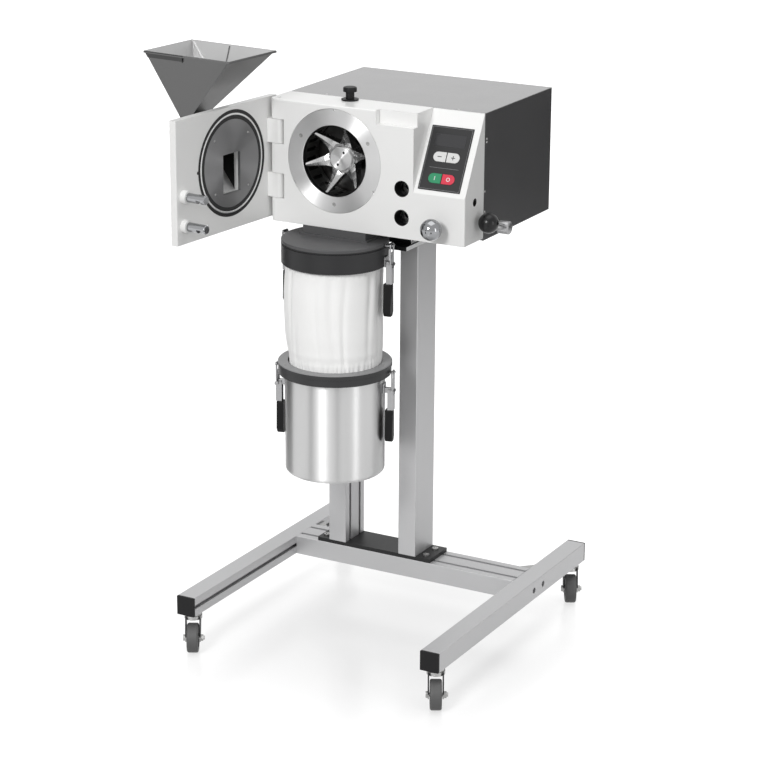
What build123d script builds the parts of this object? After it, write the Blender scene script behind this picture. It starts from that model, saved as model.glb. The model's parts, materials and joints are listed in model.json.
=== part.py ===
"""Laboratory rotor mill on a castored stand: a housing with a hinged feed door, a filter sleeve and a pot.

Millimetres. X runs to the operator's right, Y to the back, Z up. The origin is on the floor, under the
middle of the stand's crossbar. The door is drawn closed and then turned to the open position it rests in.
"""

from build123d import *

import os
from math import cos, radians, sin

os.makedirs("parts", exist_ok=True)

# ---------------------------------------------------------------- stand
beam = 40.0              # side of the square beam section
beam_corner = 1.5        # outer corner radius of the sections
slot_mouth = 8.0         # T-slot opening
slot_lip = 4.5           # thickness of the lips beside the opening
slot_inner = 16.0        # width of the T-slot behind the lips
slot_inner_depth = 6.0
caster_height = 80.0     # floor to the underside of the beams
foot_x = 275.0           # centre line of each foot beam
foot_front = -440.0      # front end, with its cap
foot_back = 226.0
cap_thickness = 4.0
cross_depth = 80.0       # the crossbar and the posts are 80 x 40 sections
base_plate_x = (-203.0, 64.0)
base_plate_thickness = 8.0
base_plate_margin = 1.0
post_x = (-155.0, 10.0)  # centre lines of the two posts
post_length = 664.0
head_thickness = 8.0
head_arm_front = -89.0   # the head plate's arm reaches forward beside the collector
head_arm_width = 45.0
console_x = (-165.0, 25.0)
console_front = -60.0
console_height = 40.5
console_wall = 4.0
bolt_access_radius = 6.5
bolt_access_pitch = 42.0
stand_screw_radius = 6.5
stand_screw_height = 3.0
bracket_leg = 34.0

# ---------------------------------------------------------------- casters
caster_inset = 28.0      # swivel axis behind the end of the foot
caster_trail = 18.0
caster_heading = -61.3   # direction the trail points in, degrees from +X
wheel_room = 50.0        # left above the wheel for the fork and its plate
wheel_radius = caster_height - wheel_room
wheel_width = 23.0
wheel_rounding = 4.0
wheel_bore = 4.1
axle_radius = 4.0
fork_gap = 1.5           # wheel side to fork leg
fork_sheet = 2.5
fork_crown_radius = 18.0
fork_crown_height = 7.5
swivel_plate_radius = 17.0
swivel_plate_thickness = 5.5
kingpin_radius = 4.0
running_gap = 0.05       # radial clearance of a shaft or pin that turns

# ---------------------------------------------------------------- mill housing
chassis_lift = 0.5       # the chassis stands out below the cover
# every level of the mill is measured up from the bottom of its cover, which the stand carries
cover_bottom = (caster_height + beam + base_plate_thickness + post_length + head_thickness + console_height
                - chassis_lift)
house_left = -226.0
house_right = 206.0
house_front = -185.0
casting_back = -105.0
house_back = 192.0
house_top = cover_bottom + 250.0
casting_bottom = cover_bottom + 5.0
casting_wall = 8.0
block_right = 95.0       # right side of the full-height chamber block
knee_z = cover_bottom + 98.5           # where the control face starts to lean back
casting_edge = 3.0
cover_sheet = 1.5
chassis_sheet = 2.0
cavity_left = 39.0
notch_left = 13.0        # step cut into the block's upper right edge
notch_depth = 15.0
notch_drop = 27.0
cover_screw_x = (-147.0, -2.0, 145.0)
cover_screw_inset = 9.0
cover_screw_radius = 3.0
vent_rise = 60.0         # lowest vent slot above the cover's bottom edge
vent_pitch = (34.0, 11.0)
vent_slot = (28.0, 4.0)

inlet_x = (-190.0, -160.0)  # mains inlet in the back panel
inlet_z = (cover_bottom + 28.0, cover_bottom + 52.0)
inlet_depth = 22.0
inlet_flange = 9.0
inlet_mouth = (24.0, 16.5)
inlet_mouth_depth = 19.0

# ---------------------------------------------------------------- chamber and rotor
chamber_x = -79.5
chamber_z = cover_bottom + 140.0
chamber_radius = 92.0
chamber_floor = -113.0
ring_outer = 103.2
ring_inner = 70.5
ring_thickness = 12.0
ring_fit = 0.3
ring_screw_circle = 86.0
ring_screw_radius = 4.0
ring_notch_circle = 101.5
ring_notch_radius = 2.6
sieve_inner = 73.0
sieve_sheet = 2.0
sieve_back = -120.0
sieve_slots = 24
sieve_slot_width = 7.0
sieve_slot_length = 36.0
outlet_x = (-139.5, -19.5)
outlet_y = (-168.0, -118.0)
rotor_tip_radius = 67.0
rotor_tip_front = -183.0
rotor_hub_radius = 29.0
rotor_hub_y = (-155.0, -121.0)
rotor_blades = 6
rotor_phase = 12.5
blade_root_sink = 5.0
blade_overhang = 3.0
# radius, width, and how far the back, shoulder and ridge lie behind the hub's front
blade_stations = ((36.0, 20.0, 20.0, -1.0, -5.0), (50.0, 13.5, 9.0, -10.0, -14.0))
blade_root_width = 30.0
blade_tip_width = 6.5
blade_tip_depth = 10.0
blade_tip_bevel = 2.5
rotor_cap_radius = 24.0
rotor_cap_thickness = 4.0
spanner_hole_radius = 2.6
spanner_hole_circle = 14.0
spanner_hole_angle = 62.0
shaft_radius = 12.5
shaft_y = (-150.0, 44.0)
bearing_radius = 26.0
bearing_width = 15.0
bearing_y = (-100.0, -35.0)
bearing_boss_radius = 38.0
bearing_boss_back = -15.0
seal_hole_radius = 16.0
same_body_gap = 0.05

# ---------------------------------------------------------------- drive
pulley_y = (14.0, 34.0)
driven_pulley_radius = 28.0
motor_pulley_radius = 48.0
belt_gap = 0.3
belt_thickness = 4.0
belt_margin = 2.0
motor_x = 110.0
motor_z = cover_bottom + 85.0
motor_radius = 60.0
motor_y = (44.0, 176.0)
motor_nose_radius = 24.0
motor_shaft_radius = 9.5
motor_bore_depth = 40.0
motor_foot_width = 104.0
motor_foot_thickness = 6.0
motor_fins = 24
motor_fin_height = 3.0
motor_fin_width = 3.0

# ---------------------------------------------------------------- door, chute and hopper
hinge_x = -212.0
hinge_y = -168.0
hinge_pin_radius = 4.0
door_open_angle = 95.4
door_gap = 0.5           # door face to housing face when shut
door_thickness = 15.0
door_left = house_left
door_right = 92.0
door_z = (cover_bottom + 10.0, cover_bottom + 251.0)
door_edge = 2.0
lug_z = ((cover_bottom + 52.5, cover_bottom + 101.5), (cover_bottom + 161.5, cover_bottom + 209.5))
lug_right = 17.0         # from the hinge axis to the lug's right side, door shut
lug_reach = 15.5         # from the hinge axis to the lug's back end, door shut
lug_corner = 10.0
lug_clearance = 0.5
hinge_recess = 19.5      # radius kept free round the hinge axis
disc_radius = 104.5
disc_thickness = 6.0
seal_proud = 0.2
seal_depth = 3.0
seal_outer = (98.0, 104.5)
seal_inner = (86.0, 93.5)
disc_screw_circle = 74.0
disc_screw_radius = 3.0
feed_width = 54.0
feed_z = (cover_bottom + 82.0, cover_bottom + 160.0)
chute_wall = 2.5
chute_mouth_z = cover_bottom + 220.0
chute_mouth_y = (-289.0, -266.0)
chute_floor_z = cover_bottom + 200.0
chute_flange = 14.0
chute_flange_thickness = 3.0
hopper_rim_x = 147.0
hopper_rim_y = (-336.0, -133.0)
hopper_height = 134.0     # from the chute's mouth to the rim
hopper_neck_drop = 14.0
hopper_sheet = 1.5
hopper_fit = 0.3
hopper_rim_fold = 4.0

# ---------------------------------------------------------------- door lock
lock_x = 70.0
lock_z = (cover_bottom + 46.0, cover_bottom + 103.0)
socket_radius = 16.0
socket_liner = 1.0
socket_depth = 26.0
boss_radius = 13.0
boss_length = 12.0
bolt_radius = 9.0
bolt_length = 42.0
bolt_notch = 8.0
bolt_notch_width = 10.0
lever_y = -45.0
lever_z = cover_bottom + 16.0
lever_shaft_radius = 6.0
lever_shaft_left = 58.0
lever_hub_radius = 13.0
lever_hub_x = (211.0, 234.0)
lever_arm_radius = 5.0
lever_ball = (230.0, -130.0, lever_z + 28.0)
lever_ball_radius = 20.0
lever_bracket_x = (80.0, 190.0)
lever_cam_radius = 8.0
lever_cam_offset = 4.4
lever_cam_angle = -30.0  # the cam's high side at rest, degrees above the horizontal, looking at the front
lever_cam_width = 8.0
slide_gap = 0.5          # slide to cam
slide_half_width = 17.0
slide_y = (-149.0, -142.5)
slide_foot = 6.0
slide_window_gap = 0.6
slide_window_sweep = 2.8 # extra half width, because the bolts come in along an arc
release_x = 150.0
release_z = cover_bottom + 39.0
release_ball_y = -215.0
release_ball_radius = 21.0
release_stem_radius = 6.0
release_travel = 6.0
plunger_x = -78.5
plunger_y = -124.0
plunger_flange_radius = 17.0
plunger_flange_thickness = 3.0
plunger_head_radius = 13.5
plunger_head_height = 9.0
plunger_neck_radius = 8.5
plunger_neck_height = 14.0
plunger_stem_radius = 6.0
plunger_stem_length = 14.0
side_hole_y = -142.6
side_hole_z = cover_bottom + 84.0
side_hole_radius = 8.0

# ---------------------------------------------------------------- control panel, laid out on the leaning face
panel_x = (102.5, 192.5)
panel_s = (9.5, 137.5)   # measured up the slope from the knee
panel_thickness = 2.8
panel_recess = 2.0
panel_fit = 0.2
window_x = (114.5, 181.4)
window_s = (97.0, 123.0)
window_depth = 0.4
key_middle_x = 147.8
key_half_gap = 0.9
key_width = 27.0
key_height = 19.5
key_rows = (33.7, 76.6)
key_fit = 0.25
key_proud = 1.8
key_cap_depth = 1.8
key_stem_radius = 3.0
key_stem_end = 7.0
board_thickness = 1.6

# ---------------------------------------------------------------- collector
collector_x = -80.0
collector_y = -180.0
pot_radius = 100.0
flange_radius = pot_radius + 6.0
flange_z = (cover_bottom - 19.5, cover_bottom - 13.0)
neck_x = (-150.0, -9.0)
neck_back = -110.0
neck_ledge = 5.0
top_ring_z = (flange_z[0] - 42.5, flange_z[0] - 0.5)
top_ring_inner = pot_radius - 2.5
top_ring_rebate = 2.0
sleeve_drop = 201.0      # visible cloth between the two rings
bottom_ring_height = 24.0
bottom_ring_radius = pot_radius + 14.0
bottom_ring_inner = pot_radius - 6.0
bottom_ring_line = 15.0  # height of the line round the ring
bottom_ring_step = 1.5
bottom_ring_z = (top_ring_z[0] - sleeve_drop - bottom_ring_height, top_ring_z[0] - sleeve_drop)
bottom_ring_line_z = bottom_ring_z[0] + bottom_ring_line
pot_wall = 1.5
pot_drop = 206.0         # pot's bottom below the ring
pot_bottom = bottom_ring_z[0] - pot_drop
pot_corner = 9.0
pot_groove_gap = 0.4
pot_seat = 9.0           # how far the pot's edge stands up into the ring
sleeve_folds = 16
sleeve_wall = 2.0
sleeve_seat_gap = 0.3
sleeve_waist = pot_radius - 4.7

# ---------------------------------------------------------------- toggle latches
latch_upper_angles = (8.0, 176.0)      # about the collector's axis, degrees from +X
latch_lower_angles = (14.7, 194.7)
latch_bail_gap = 5.0     # bail wire's centre line outside the lower ring
latch_bail_r = bottom_ring_radius + latch_bail_gap
latch_pivot_inset = 6.5  # lever's pin inside the bail's pins
latch_pivot_r = latch_bail_r - latch_pivot_inset
latch_pivot_eye = 3.3
latch_pivot_drop = 31.0  # lever's pin below the lower ring
latch_pivot_z = bottom_ring_z[0] - latch_pivot_drop
latch_upper_pivot = 7.0  # upper levers' pins above the foot of the upper ring
latch_rise = top_ring_z[0] + latch_upper_pivot - latch_pivot_z
latch_pin_radius = 2.0
latch_bail_z = latch_pivot_z - 2.0
latch_bail_length = 42.0
latch_bail_top = latch_bail_z + latch_bail_length
latch_bail_half = 8.6
latch_bail_wire = 1.75
latch_bail_eye = 4.0
latch_lever_half = 6.5
latch_lever_wall = 1.5
latch_lever_front = latch_bail_r + 2.5
latch_grip_length = 67.0
latch_grip_z = (latch_pivot_z - 40.0 - latch_grip_length, latch_pivot_z - 40.0)
latch_grip_half = 10.5
latch_grip_depth = 15.0
latch_grip_r = (latch_lever_front - 1.5 - latch_grip_depth, latch_lever_front - 1.5)
latch_block_half = 4.6
latch_plate_half = 9.0
latch_plate = 2.5
latch_seat_gap = 0.3
catch_half = 6.0
catch_plate = 2.5
catch_lip = 1.2


def slab(x, y, z, mode=Mode.ADD):
    """Adds a block between pairs of limits to the piece being built."""
    middle = ((x[0] + x[1]) / 2, (y[0] + y[1]) / 2, (z[0] + z[1]) / 2)
    with Locations(middle):
        Box(x[1] - x[0], y[1] - y[0], z[1] - z[0], mode=mode)


def rod(start, axis, radius, length, mode=Mode.ADD):
    """Adds a cylinder that starts at a point and runs along an axis."""
    with Locations(Plane(start, z_dir=axis)):
        Cylinder(radius, length, align=(Align.CENTER, Align.CENTER, Align.MIN), mode=mode)


def write(piece, name):
    """Labels a finished piece and writes its file."""
    piece.label = name
    export_step(piece, f"parts/{name}.step")


def t_slot(x, z_face, y, down):
    """Cuts one T-slot along X into a face that lies at z_face."""
    lip_end = z_face - down * slot_lip
    slot_end = lip_end - down * slot_inner_depth
    slab(x, (y - slot_mouth / 2, y + slot_mouth / 2), sorted((z_face, lip_end)), Mode.SUBTRACT)
    slab(x, (y - slot_inner / 2, y + slot_inner / 2), sorted((lip_end, slot_end)), Mode.SUBTRACT)


# ================================================================ stand
beam_z = (caster_height, caster_height + beam)
beam_mid_z = caster_height + beam / 2
cross_half = cross_depth / 2
cross_end = foot_x - beam / 2
slot_pitch = cross_depth / 4


with BuildPart() as foot_beams:
    foot_run = (foot_front + cap_thickness, foot_back - cap_thickness)
    for side in (-1, 1):
        slab((side * foot_x - beam / 2, side * foot_x + beam / 2), foot_run, beam_z)
    fillet(foot_beams.edges().filter_by(Axis.Y), beam_corner)
    for side in (-1, 1):
        inner_face = side * cross_end
        lip_end = inner_face + side * slot_lip
        slot_end = lip_end + side * slot_inner_depth
        slab(sorted((inner_face, lip_end)), foot_run,
             (beam_mid_z - slot_mouth / 2, beam_mid_z + slot_mouth / 2), Mode.SUBTRACT)
        slab(sorted((lip_end, slot_end)), foot_run,
             (beam_mid_z - slot_inner / 2, beam_mid_z + slot_inner / 2), Mode.SUBTRACT)
        for y in (-bolt_access_pitch / 2, bolt_access_pitch / 2):
            rod((inner_face + side * beam, y, beam_mid_z), (-side, 0, 0), bolt_access_radius, beam,
                Mode.SUBTRACT)
write(foot_beams.part, "foot_beams")

with BuildPart() as foot_end_caps:
    for side in (-1, 1):
        for near, far in ((foot_front, foot_front + cap_thickness), (foot_back - cap_thickness, foot_back)):
            slab((side * foot_x - beam / 2, side * foot_x + beam / 2), (near, far), beam_z)
    fillet(foot_end_caps.edges().filter_by(Axis.Y), beam_corner)
write(foot_end_caps.part, "foot_end_caps")

with BuildPart() as crossbar:
    slab((-cross_end, cross_end), (-cross_half, cross_half), beam_z)
    fillet(crossbar.edges().filter_by(Axis.X), beam_corner)
    for y in (-slot_pitch, slot_pitch):
        t_slot((-cross_end, cross_end), beam_z[1], y, 1)
        t_slot((-cross_end, cross_end), beam_z[0], y, -1)
    for side in (-1, 1):
        for y in (-bolt_access_pitch / 2, bolt_access_pitch / 2):
            rod((side * cross_end, y, beam_mid_z), (-side, 0, 0), bolt_access_radius / 2, beam, Mode.SUBTRACT)
write(crossbar.part, "crossbar")

base_plate_z = (beam_z[1], beam_z[1] + base_plate_thickness)
post_z = (base_plate_z[1], base_plate_z[1] + post_length)


with BuildPart() as posts:
    for middle in post_x:
        slab((middle - beam / 2, middle + beam / 2), (-cross_half, cross_half), post_z)
    fillet(posts.edges().filter_by(Axis.Z), beam_corner)
    for middle, inward in zip(post_x, (1, -1)):
        face = middle + inward * beam / 2
        lip_end = face - inward * slot_lip
        slot_end = lip_end - inward * slot_inner_depth
        for y in (-slot_pitch, slot_pitch):
            slab(sorted((face, lip_end)), (y - slot_mouth / 2, y + slot_mouth / 2), post_z, Mode.SUBTRACT)
            slab(sorted((lip_end, slot_end)), (y - slot_inner / 2, y + slot_inner / 2), post_z, Mode.SUBTRACT)
write(posts.part, "posts")

with BuildPart() as base_plate:
    slab(base_plate_x, (-cross_half + base_plate_margin, cross_half - base_plate_margin), base_plate_z)
    fillet(base_plate.edges().filter_by(Axis.Z), beam_corner)
write(base_plate.part, "base_plate")

head_z = (post_z[1], post_z[1] + head_thickness)
head_x = (post_x[0] - beam / 2, post_x[1] + beam / 2)
chassis_z = cover_bottom + chassis_lift
console_z = (head_z[1], chassis_z)

with BuildPart() as head_console:
    slab(head_x, (-cross_half, cross_half), head_z)
    slab((head_x[1] - head_arm_width, head_x[1]), (head_arm_front, -cross_half), head_z)
    slab(console_x, (console_front, cross_half), console_z)
    slab(console_x, (console_front + console_wall, cross_half - console_wall),
         (console_z[0] + console_wall, console_z[1] - console_wall), Mode.SUBTRACT)
write(head_console.part, "head_console")

screw_spots = [(base_plate_x[0] + 12.0, -slot_pitch), (base_plate_x[0] + 12.0, slot_pitch),
               (base_plate_x[1] - 18.0, -slot_pitch), (base_plate_x[1] - 18.0, slot_pitch)]
caster_spots = [(side * foot_x, y) for side in (-1, 1)
                for y in (foot_front + caster_inset, foot_back - caster_inset)]
swivel_top = caster_height
swivel_bottom = caster_height - swivel_plate_thickness
crown_z = (swivel_bottom - 0.3 - fork_crown_height, swivel_bottom - 0.3)

with BuildPart() as stand_fittings:
    for x, y in screw_spots:
        rod((x, y, base_plate_z[1]), (0, 0, 1), stand_screw_radius, stand_screw_height)
        rod((x, y, base_plate_z[1] + stand_screw_height), (0, 0, -1), stand_screw_radius / 2,
            stand_screw_height / 2, Mode.SUBTRACT)
    for side in (-1, 1):
        corner = side * cross_end
        slab(sorted((corner, corner - side * bracket_leg)), (cross_half, cross_half + 4.0),
             (beam_mid_z - 16.0, beam_mid_z + 16.0))
        slab(sorted((corner, corner - side * 4.0)), (cross_half, cross_half + bracket_leg),
             (beam_mid_z - 16.0, beam_mid_z + 16.0))
        for z in (beam_mid_z - 16.0, beam_mid_z + 13.0):
            with BuildSketch(Plane.XY.offset(z)):
                with BuildLine():
                    Polyline((corner, cross_half), (corner - side * bracket_leg, cross_half),
                             (corner, cross_half + bracket_leg), close=True)
                make_face()
            extrude(amount=3.0)
    for x, y in caster_spots:
        rod((x, y, swivel_bottom), (0, 0, 1), swivel_plate_radius, swivel_plate_thickness)
        rod((x, y, swivel_bottom), (0, 0, -1), kingpin_radius, fork_crown_height + 1.0)
        rod((x, y, crown_z[0] - 0.3), (0, 0, -1), kingpin_radius + 2.5, 2.5)
write(stand_fittings.part, "stand_fittings")

# ================================================================ casters
axle_z = wheel_radius
leg_inner = wheel_width / 2 + fork_gap
leg_outer = leg_inner + fork_sheet


def caster_fork():
    """Pressed fork drawn at the origin: crown round the swivel axis, two legs and the axle bolt."""
    with BuildPart() as fork:
        rod((0, 0, crown_z[0]), (0, 0, 1), fork_crown_radius, fork_crown_height)
        rod((0, 0, crown_z[0]), (0, 0, 1), kingpin_radius + running_gap, fork_crown_height, Mode.SUBTRACT)
        for side in (-1, 1):
            with BuildSketch(Plane.XZ.offset(-side * leg_inner)):
                with BuildLine():
                    Polyline((-14.0, crown_z[1]), (15.0, crown_z[1]), (caster_trail + 8.5, axle_z + 2.0),
                             (caster_trail - 8.5, axle_z - 2.0), close=True)
                make_face()
                with Locations((caster_trail, axle_z)):
                    Circle(8.8)
                    Circle(axle_radius + same_body_gap, mode=Mode.SUBTRACT)
            extrude(amount=-side * fork_sheet)
    with BuildPart() as axle:
        rod((caster_trail, -leg_outer - 4.0, axle_z), (0, 1, 0), axle_radius, 2 * leg_outer + 12.0)
        rod((caster_trail, -leg_outer - 4.0, axle_z), (0, 1, 0), 6.5, 3.9)
        with BuildSketch(Plane.XZ.offset(-leg_outer - 0.1)):
            with Locations((caster_trail, axle_z)):
                RegularPolygon(6.6, 6)
        extrude(amount=-5.0)
    return Compound(children=[fork.part, axle.part])


def caster_wheel():
    """Solid rubber wheel with rounded shoulders, a recessed hub on each side and a plain bore."""
    half = wheel_width / 2
    with BuildPart() as wheel:
        with BuildSketch(Plane.XY) as profile:
            with BuildLine():
                Polyline((wheel_bore, half), (9.0, half), (11.0, half - 2.5), (19.0, half - 2.5),
                         (21.0, half), (wheel_radius, half), (wheel_radius, -half), (21.0, -half),
                         (19.0, 2.5 - half), (11.0, 2.5 - half), (9.0, -half), (wheel_bore, -half),
                         close=True)
            make_face()
            fillet(profile.vertices().group_by(Axis.X)[-1], wheel_rounding)
        revolve(axis=Axis.Y)
    return wheel.part


fork_shape = caster_fork()
wheel_shape = caster_wheel()
for name, (x, y) in zip(("front_left", "back_left", "front_right", "back_right"), caster_spots):
    swivel = Location((x, y, 0), (0, 0, caster_heading))
    write(Compound(children=[swivel * child for child in fork_shape.children]), f"caster_fork_{name}")
    write(swivel * Location((caster_trail, 0, axle_z)) * wheel_shape, f"caster_wheel_{name}")

# ================================================================ housing
slope_rise = house_top - knee_z
slope_run = casting_back - house_front
slope_length = (slope_rise ** 2 + slope_run ** 2) ** 0.5
slope_up = Vector(0, slope_run / slope_length, slope_rise / slope_length)
slope_out = Vector(0, -slope_up.Z, slope_up.Y)
face_plane = Plane((0, house_front, knee_z), x_dir=(1, 0, 0), z_dir=slope_out)
inner_shift = casting_wall / slope_up.Z


def inner_slope_z(y):
    """Height of the leaning wall's inner surface at a given y."""
    return knee_z + (y - house_front - inner_shift) * slope_rise / slope_run


hinge_corner = hinge_x - house_left
notch_z = house_top - notch_drop
notch_back = house_front + notch_depth

with BuildPart() as front_casting:
    slab((house_left, block_right), (house_front, casting_back), (casting_bottom, house_top))
    fillet(front_casting.edges().filter_by(Axis.Y).group_by(Axis.Z)[0].sort_by(Axis.X)[0], 10.0)
    fillet(front_casting.edges().filter_by(Axis.X).group_by(Axis.Y)[0].sort_by(Axis.Z)[-1], casting_edge)
    with BuildSketch(Plane.YZ.offset(block_right)):
        with BuildLine():
            Polyline((house_front, casting_bottom), (house_front, knee_z), (casting_back, house_top),
                     (casting_back, casting_bottom), close=True)
        make_face()
    extrude(amount=house_right - block_right)
    fillet(front_casting.edges().filter_by(Axis.Z).group_by(Axis.X)[-1].sort_by(Axis.Y)[0], casting_edge)
    # the door turns round the left front corner, so that is rounded about the hinge line
    with BuildSketch(Plane.XY.offset(casting_bottom)):
        with Locations((house_left + hinge_corner / 2, house_front + hinge_corner / 2)):
            Rectangle(hinge_corner, hinge_corner)
        with Locations((house_left + hinge_corner, house_front + hinge_corner)):
            Circle(hinge_corner, mode=Mode.SUBTRACT)
    extrude(amount=house_top - casting_bottom, mode=Mode.SUBTRACT)
    slab((notch_left, block_right), (house_front, notch_back), (notch_z, house_top), Mode.SUBTRACT)
    # electronics bay behind the control face, open to the back
    bay_x = (cavity_left, block_right - casting_wall)
    slab(bay_x, (house_front + casting_wall, casting_back),
         (casting_bottom + casting_wall, notch_z - casting_wall), Mode.SUBTRACT)
    slab(bay_x, (notch_back + casting_wall, casting_back), (notch_z - casting_wall, house_top - casting_wall),
         Mode.SUBTRACT)
    with BuildSketch(Plane.YZ.offset(block_right - casting_wall)):
        with BuildLine():
            bay_front = house_front + casting_wall
            Polyline((bay_front, casting_bottom + casting_wall), (bay_front, inner_slope_z(bay_front)),
                     (casting_back, inner_slope_z(casting_back)),
                     (casting_back, casting_bottom + casting_wall), close=True)
        make_face()
    extrude(amount=house_right - block_right, mode=Mode.SUBTRACT)
    # chamber, ring seat, shaft hole, bearing boss and outlet
    rod((chamber_x, house_front, chamber_z), (0, 1, 0), ring_outer + ring_fit, ring_thickness, Mode.SUBTRACT)
    rod((chamber_x, house_front, chamber_z), (0, 1, 0), chamber_radius, chamber_floor - house_front,
        Mode.SUBTRACT)
    rod((chamber_x, casting_back, chamber_z), (0, 1, 0), bearing_boss_radius,
        bearing_boss_back - casting_back)
    rod((chamber_x, chamber_floor, chamber_z), (0, 1, 0), seal_hole_radius, 200.0, Mode.SUBTRACT)
    rod((chamber_x, casting_back, chamber_z), (0, 1, 0), bearing_radius, 200.0, Mode.SUBTRACT)
    slab(outlet_x, outlet_y, (casting_bottom, chamber_z - chamber_radius / 2), Mode.SUBTRACT)
    # hinge recesses and pin hole
    for low, high in lug_z:
        slab((house_left, hinge_x + hinge_recess), (house_front, hinge_y + hinge_recess),
             (low - lug_clearance, high + lug_clearance), Mode.SUBTRACT)
    rod((hinge_x, hinge_y, house_top), (0, 0, -1), hinge_pin_radius + same_body_gap,
        house_top - lug_z[0][0] + 25.0, Mode.SUBTRACT)
    # lock sockets, knob stems and the side hole
    for z in lock_z:
        rod((lock_x, house_front, z), (0, 1, 0), socket_radius, casting_wall, Mode.SUBTRACT)
    rod((release_x, house_front, release_z), (0, 1, 0), release_stem_radius + running_gap, casting_wall,
        Mode.SUBTRACT)
    rod((plunger_x, plunger_y, house_top), (0, 0, -1), plunger_stem_radius + running_gap,
        plunger_stem_length + 1.0, Mode.SUBTRACT)
    rod((house_right, side_hole_y, side_hole_z), (-1, 0, 0), side_hole_radius, casting_wall, Mode.SUBTRACT)
    # seat for the control panel, with a window behind its keys
    with BuildSketch(face_plane):
        with Locations(((panel_x[0] + panel_x[1]) / 2, (panel_s[0] + panel_s[1]) / 2)):
            Rectangle(panel_x[1] - panel_x[0] + 2 * panel_fit, panel_s[1] - panel_s[0] + 2 * panel_fit)
    extrude(amount=-panel_recess, mode=Mode.SUBTRACT)
    with BuildSketch(face_plane):
        with Locations((key_middle_x, sum(key_rows) / 2)):
            Rectangle(2 * key_width + 6.0, key_rows[1] - key_rows[0] + key_height + 4.0)
    extrude(amount=-casting_wall - 1.0, mode=Mode.SUBTRACT)
write(front_casting.part, "front_casting")

with BuildPart() as cover:
    slab((house_left, house_right), (casting_back, house_back), (cover_bottom, house_top))
    fillet(cover.edges().filter_by(Axis.Y).group_by(Axis.Z)[-1], 1.2)
    slab((house_left + cover_sheet, house_right - cover_sheet), (casting_back, house_back),
         (cover_bottom, house_top - cover_sheet), Mode.SUBTRACT)
    rod((house_right, lever_y, lever_z), (-1, 0, 0), lever_shaft_radius + 0.5, cover_sheet, Mode.SUBTRACT)
    for x in cover_screw_x:
        rod((x, casting_back + cover_screw_inset, house_top), (0, 0, -1), cover_screw_radius + same_body_gap,
            cover_sheet, Mode.SUBTRACT)
write(cover.part, "cover")

inside_left = house_left + cover_sheet + 0.2
inside_right = house_right - cover_sheet - 0.2
panel_back = house_back - 2.0
panel_front = panel_back - chassis_sheet
chassis_top = chassis_z + chassis_sheet
with BuildPart() as chassis:
    slab((inside_left, inside_right), (casting_back, panel_back), (chassis_z, chassis_top))
    slab((inside_left, inside_right), (casting_back, casting_back + chassis_sheet),
         (chassis_z, chassis_top + 9.0))
    slab((inside_left, inside_right), (panel_front, panel_back), (chassis_z, house_top - cover_sheet - 0.3))
    for x in lever_bracket_x:
        slab((x, x + 4.0), (lever_y - 12.0, lever_y + 12.0), (chassis_top, lever_z + 12.0))
        rod((x, lever_y, lever_z), (1, 0, 0), lever_shaft_radius + running_gap, 4.0, Mode.SUBTRACT)
    # motor foot: an upright plate with a hole for the motor's nose
    slab((motor_x - motor_foot_width / 2, motor_x + motor_foot_width / 2),
         (motor_y[0] - motor_foot_thickness, motor_y[0]), (chassis_top, motor_z + motor_radius - 12.0))
    rod((motor_x, motor_y[0] - motor_foot_thickness, motor_z), (0, 1, 0), motor_nose_radius + same_body_gap,
        motor_foot_thickness, Mode.SUBTRACT)
    # ventilation slots and the mains inlet in the back
    for row in range(6):
        for column in (-1, 0, 1):
            x = motor_x + column * vent_pitch[0]
            z = cover_bottom + vent_rise + row * vent_pitch[1]
            slab((x - vent_slot[0] / 2, x + vent_slot[0] / 2), (panel_front, panel_back),
                 (z, z + vent_slot[1]), Mode.SUBTRACT)
    slab(inlet_x, (panel_front, panel_back), inlet_z, Mode.SUBTRACT)
write(chassis.part, "chassis")

with BuildPart() as power_inlet:
    slab((inlet_x[0] + same_body_gap, inlet_x[1] - same_body_gap), (panel_front - inlet_depth, panel_back),
         (inlet_z[0] + same_body_gap, inlet_z[1] - same_body_gap))
    slab((inlet_x[0] - inlet_flange, inlet_x[1] + inlet_flange), (panel_back, panel_back + 2.0),
         (inlet_z[0] - 2.0, inlet_z[1] + 2.0))
    inlet_middle = ((inlet_x[0] + inlet_x[1]) / 2, (inlet_z[0] + inlet_z[1]) / 2)
    with BuildSketch(Plane.XZ.offset(-panel_back - 2.0)) as mouth:
        with Locations(inlet_middle):
            Rectangle(inlet_mouth[0], inlet_mouth[1])
        chamfer(mouth.vertices().group_by(Axis.Z)[-1], 5.0)
    extrude(amount=inlet_mouth_depth, mode=Mode.SUBTRACT)
    for dx, dz in ((-7.0, -2.0), (0.0, 2.0), (7.0, -2.0)):
        slab((inlet_middle[0] + dx - 1.0, inlet_middle[0] + dx + 1.0),
             (panel_front - inlet_depth, panel_back - 6.0),
             (inlet_middle[1] + dz - 2.0, inlet_middle[1] + dz + 2.0))
write(power_inlet.part, "power_inlet")

# ================================================================ chamber, rotor and shaft
ring_back = house_front + ring_thickness

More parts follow.
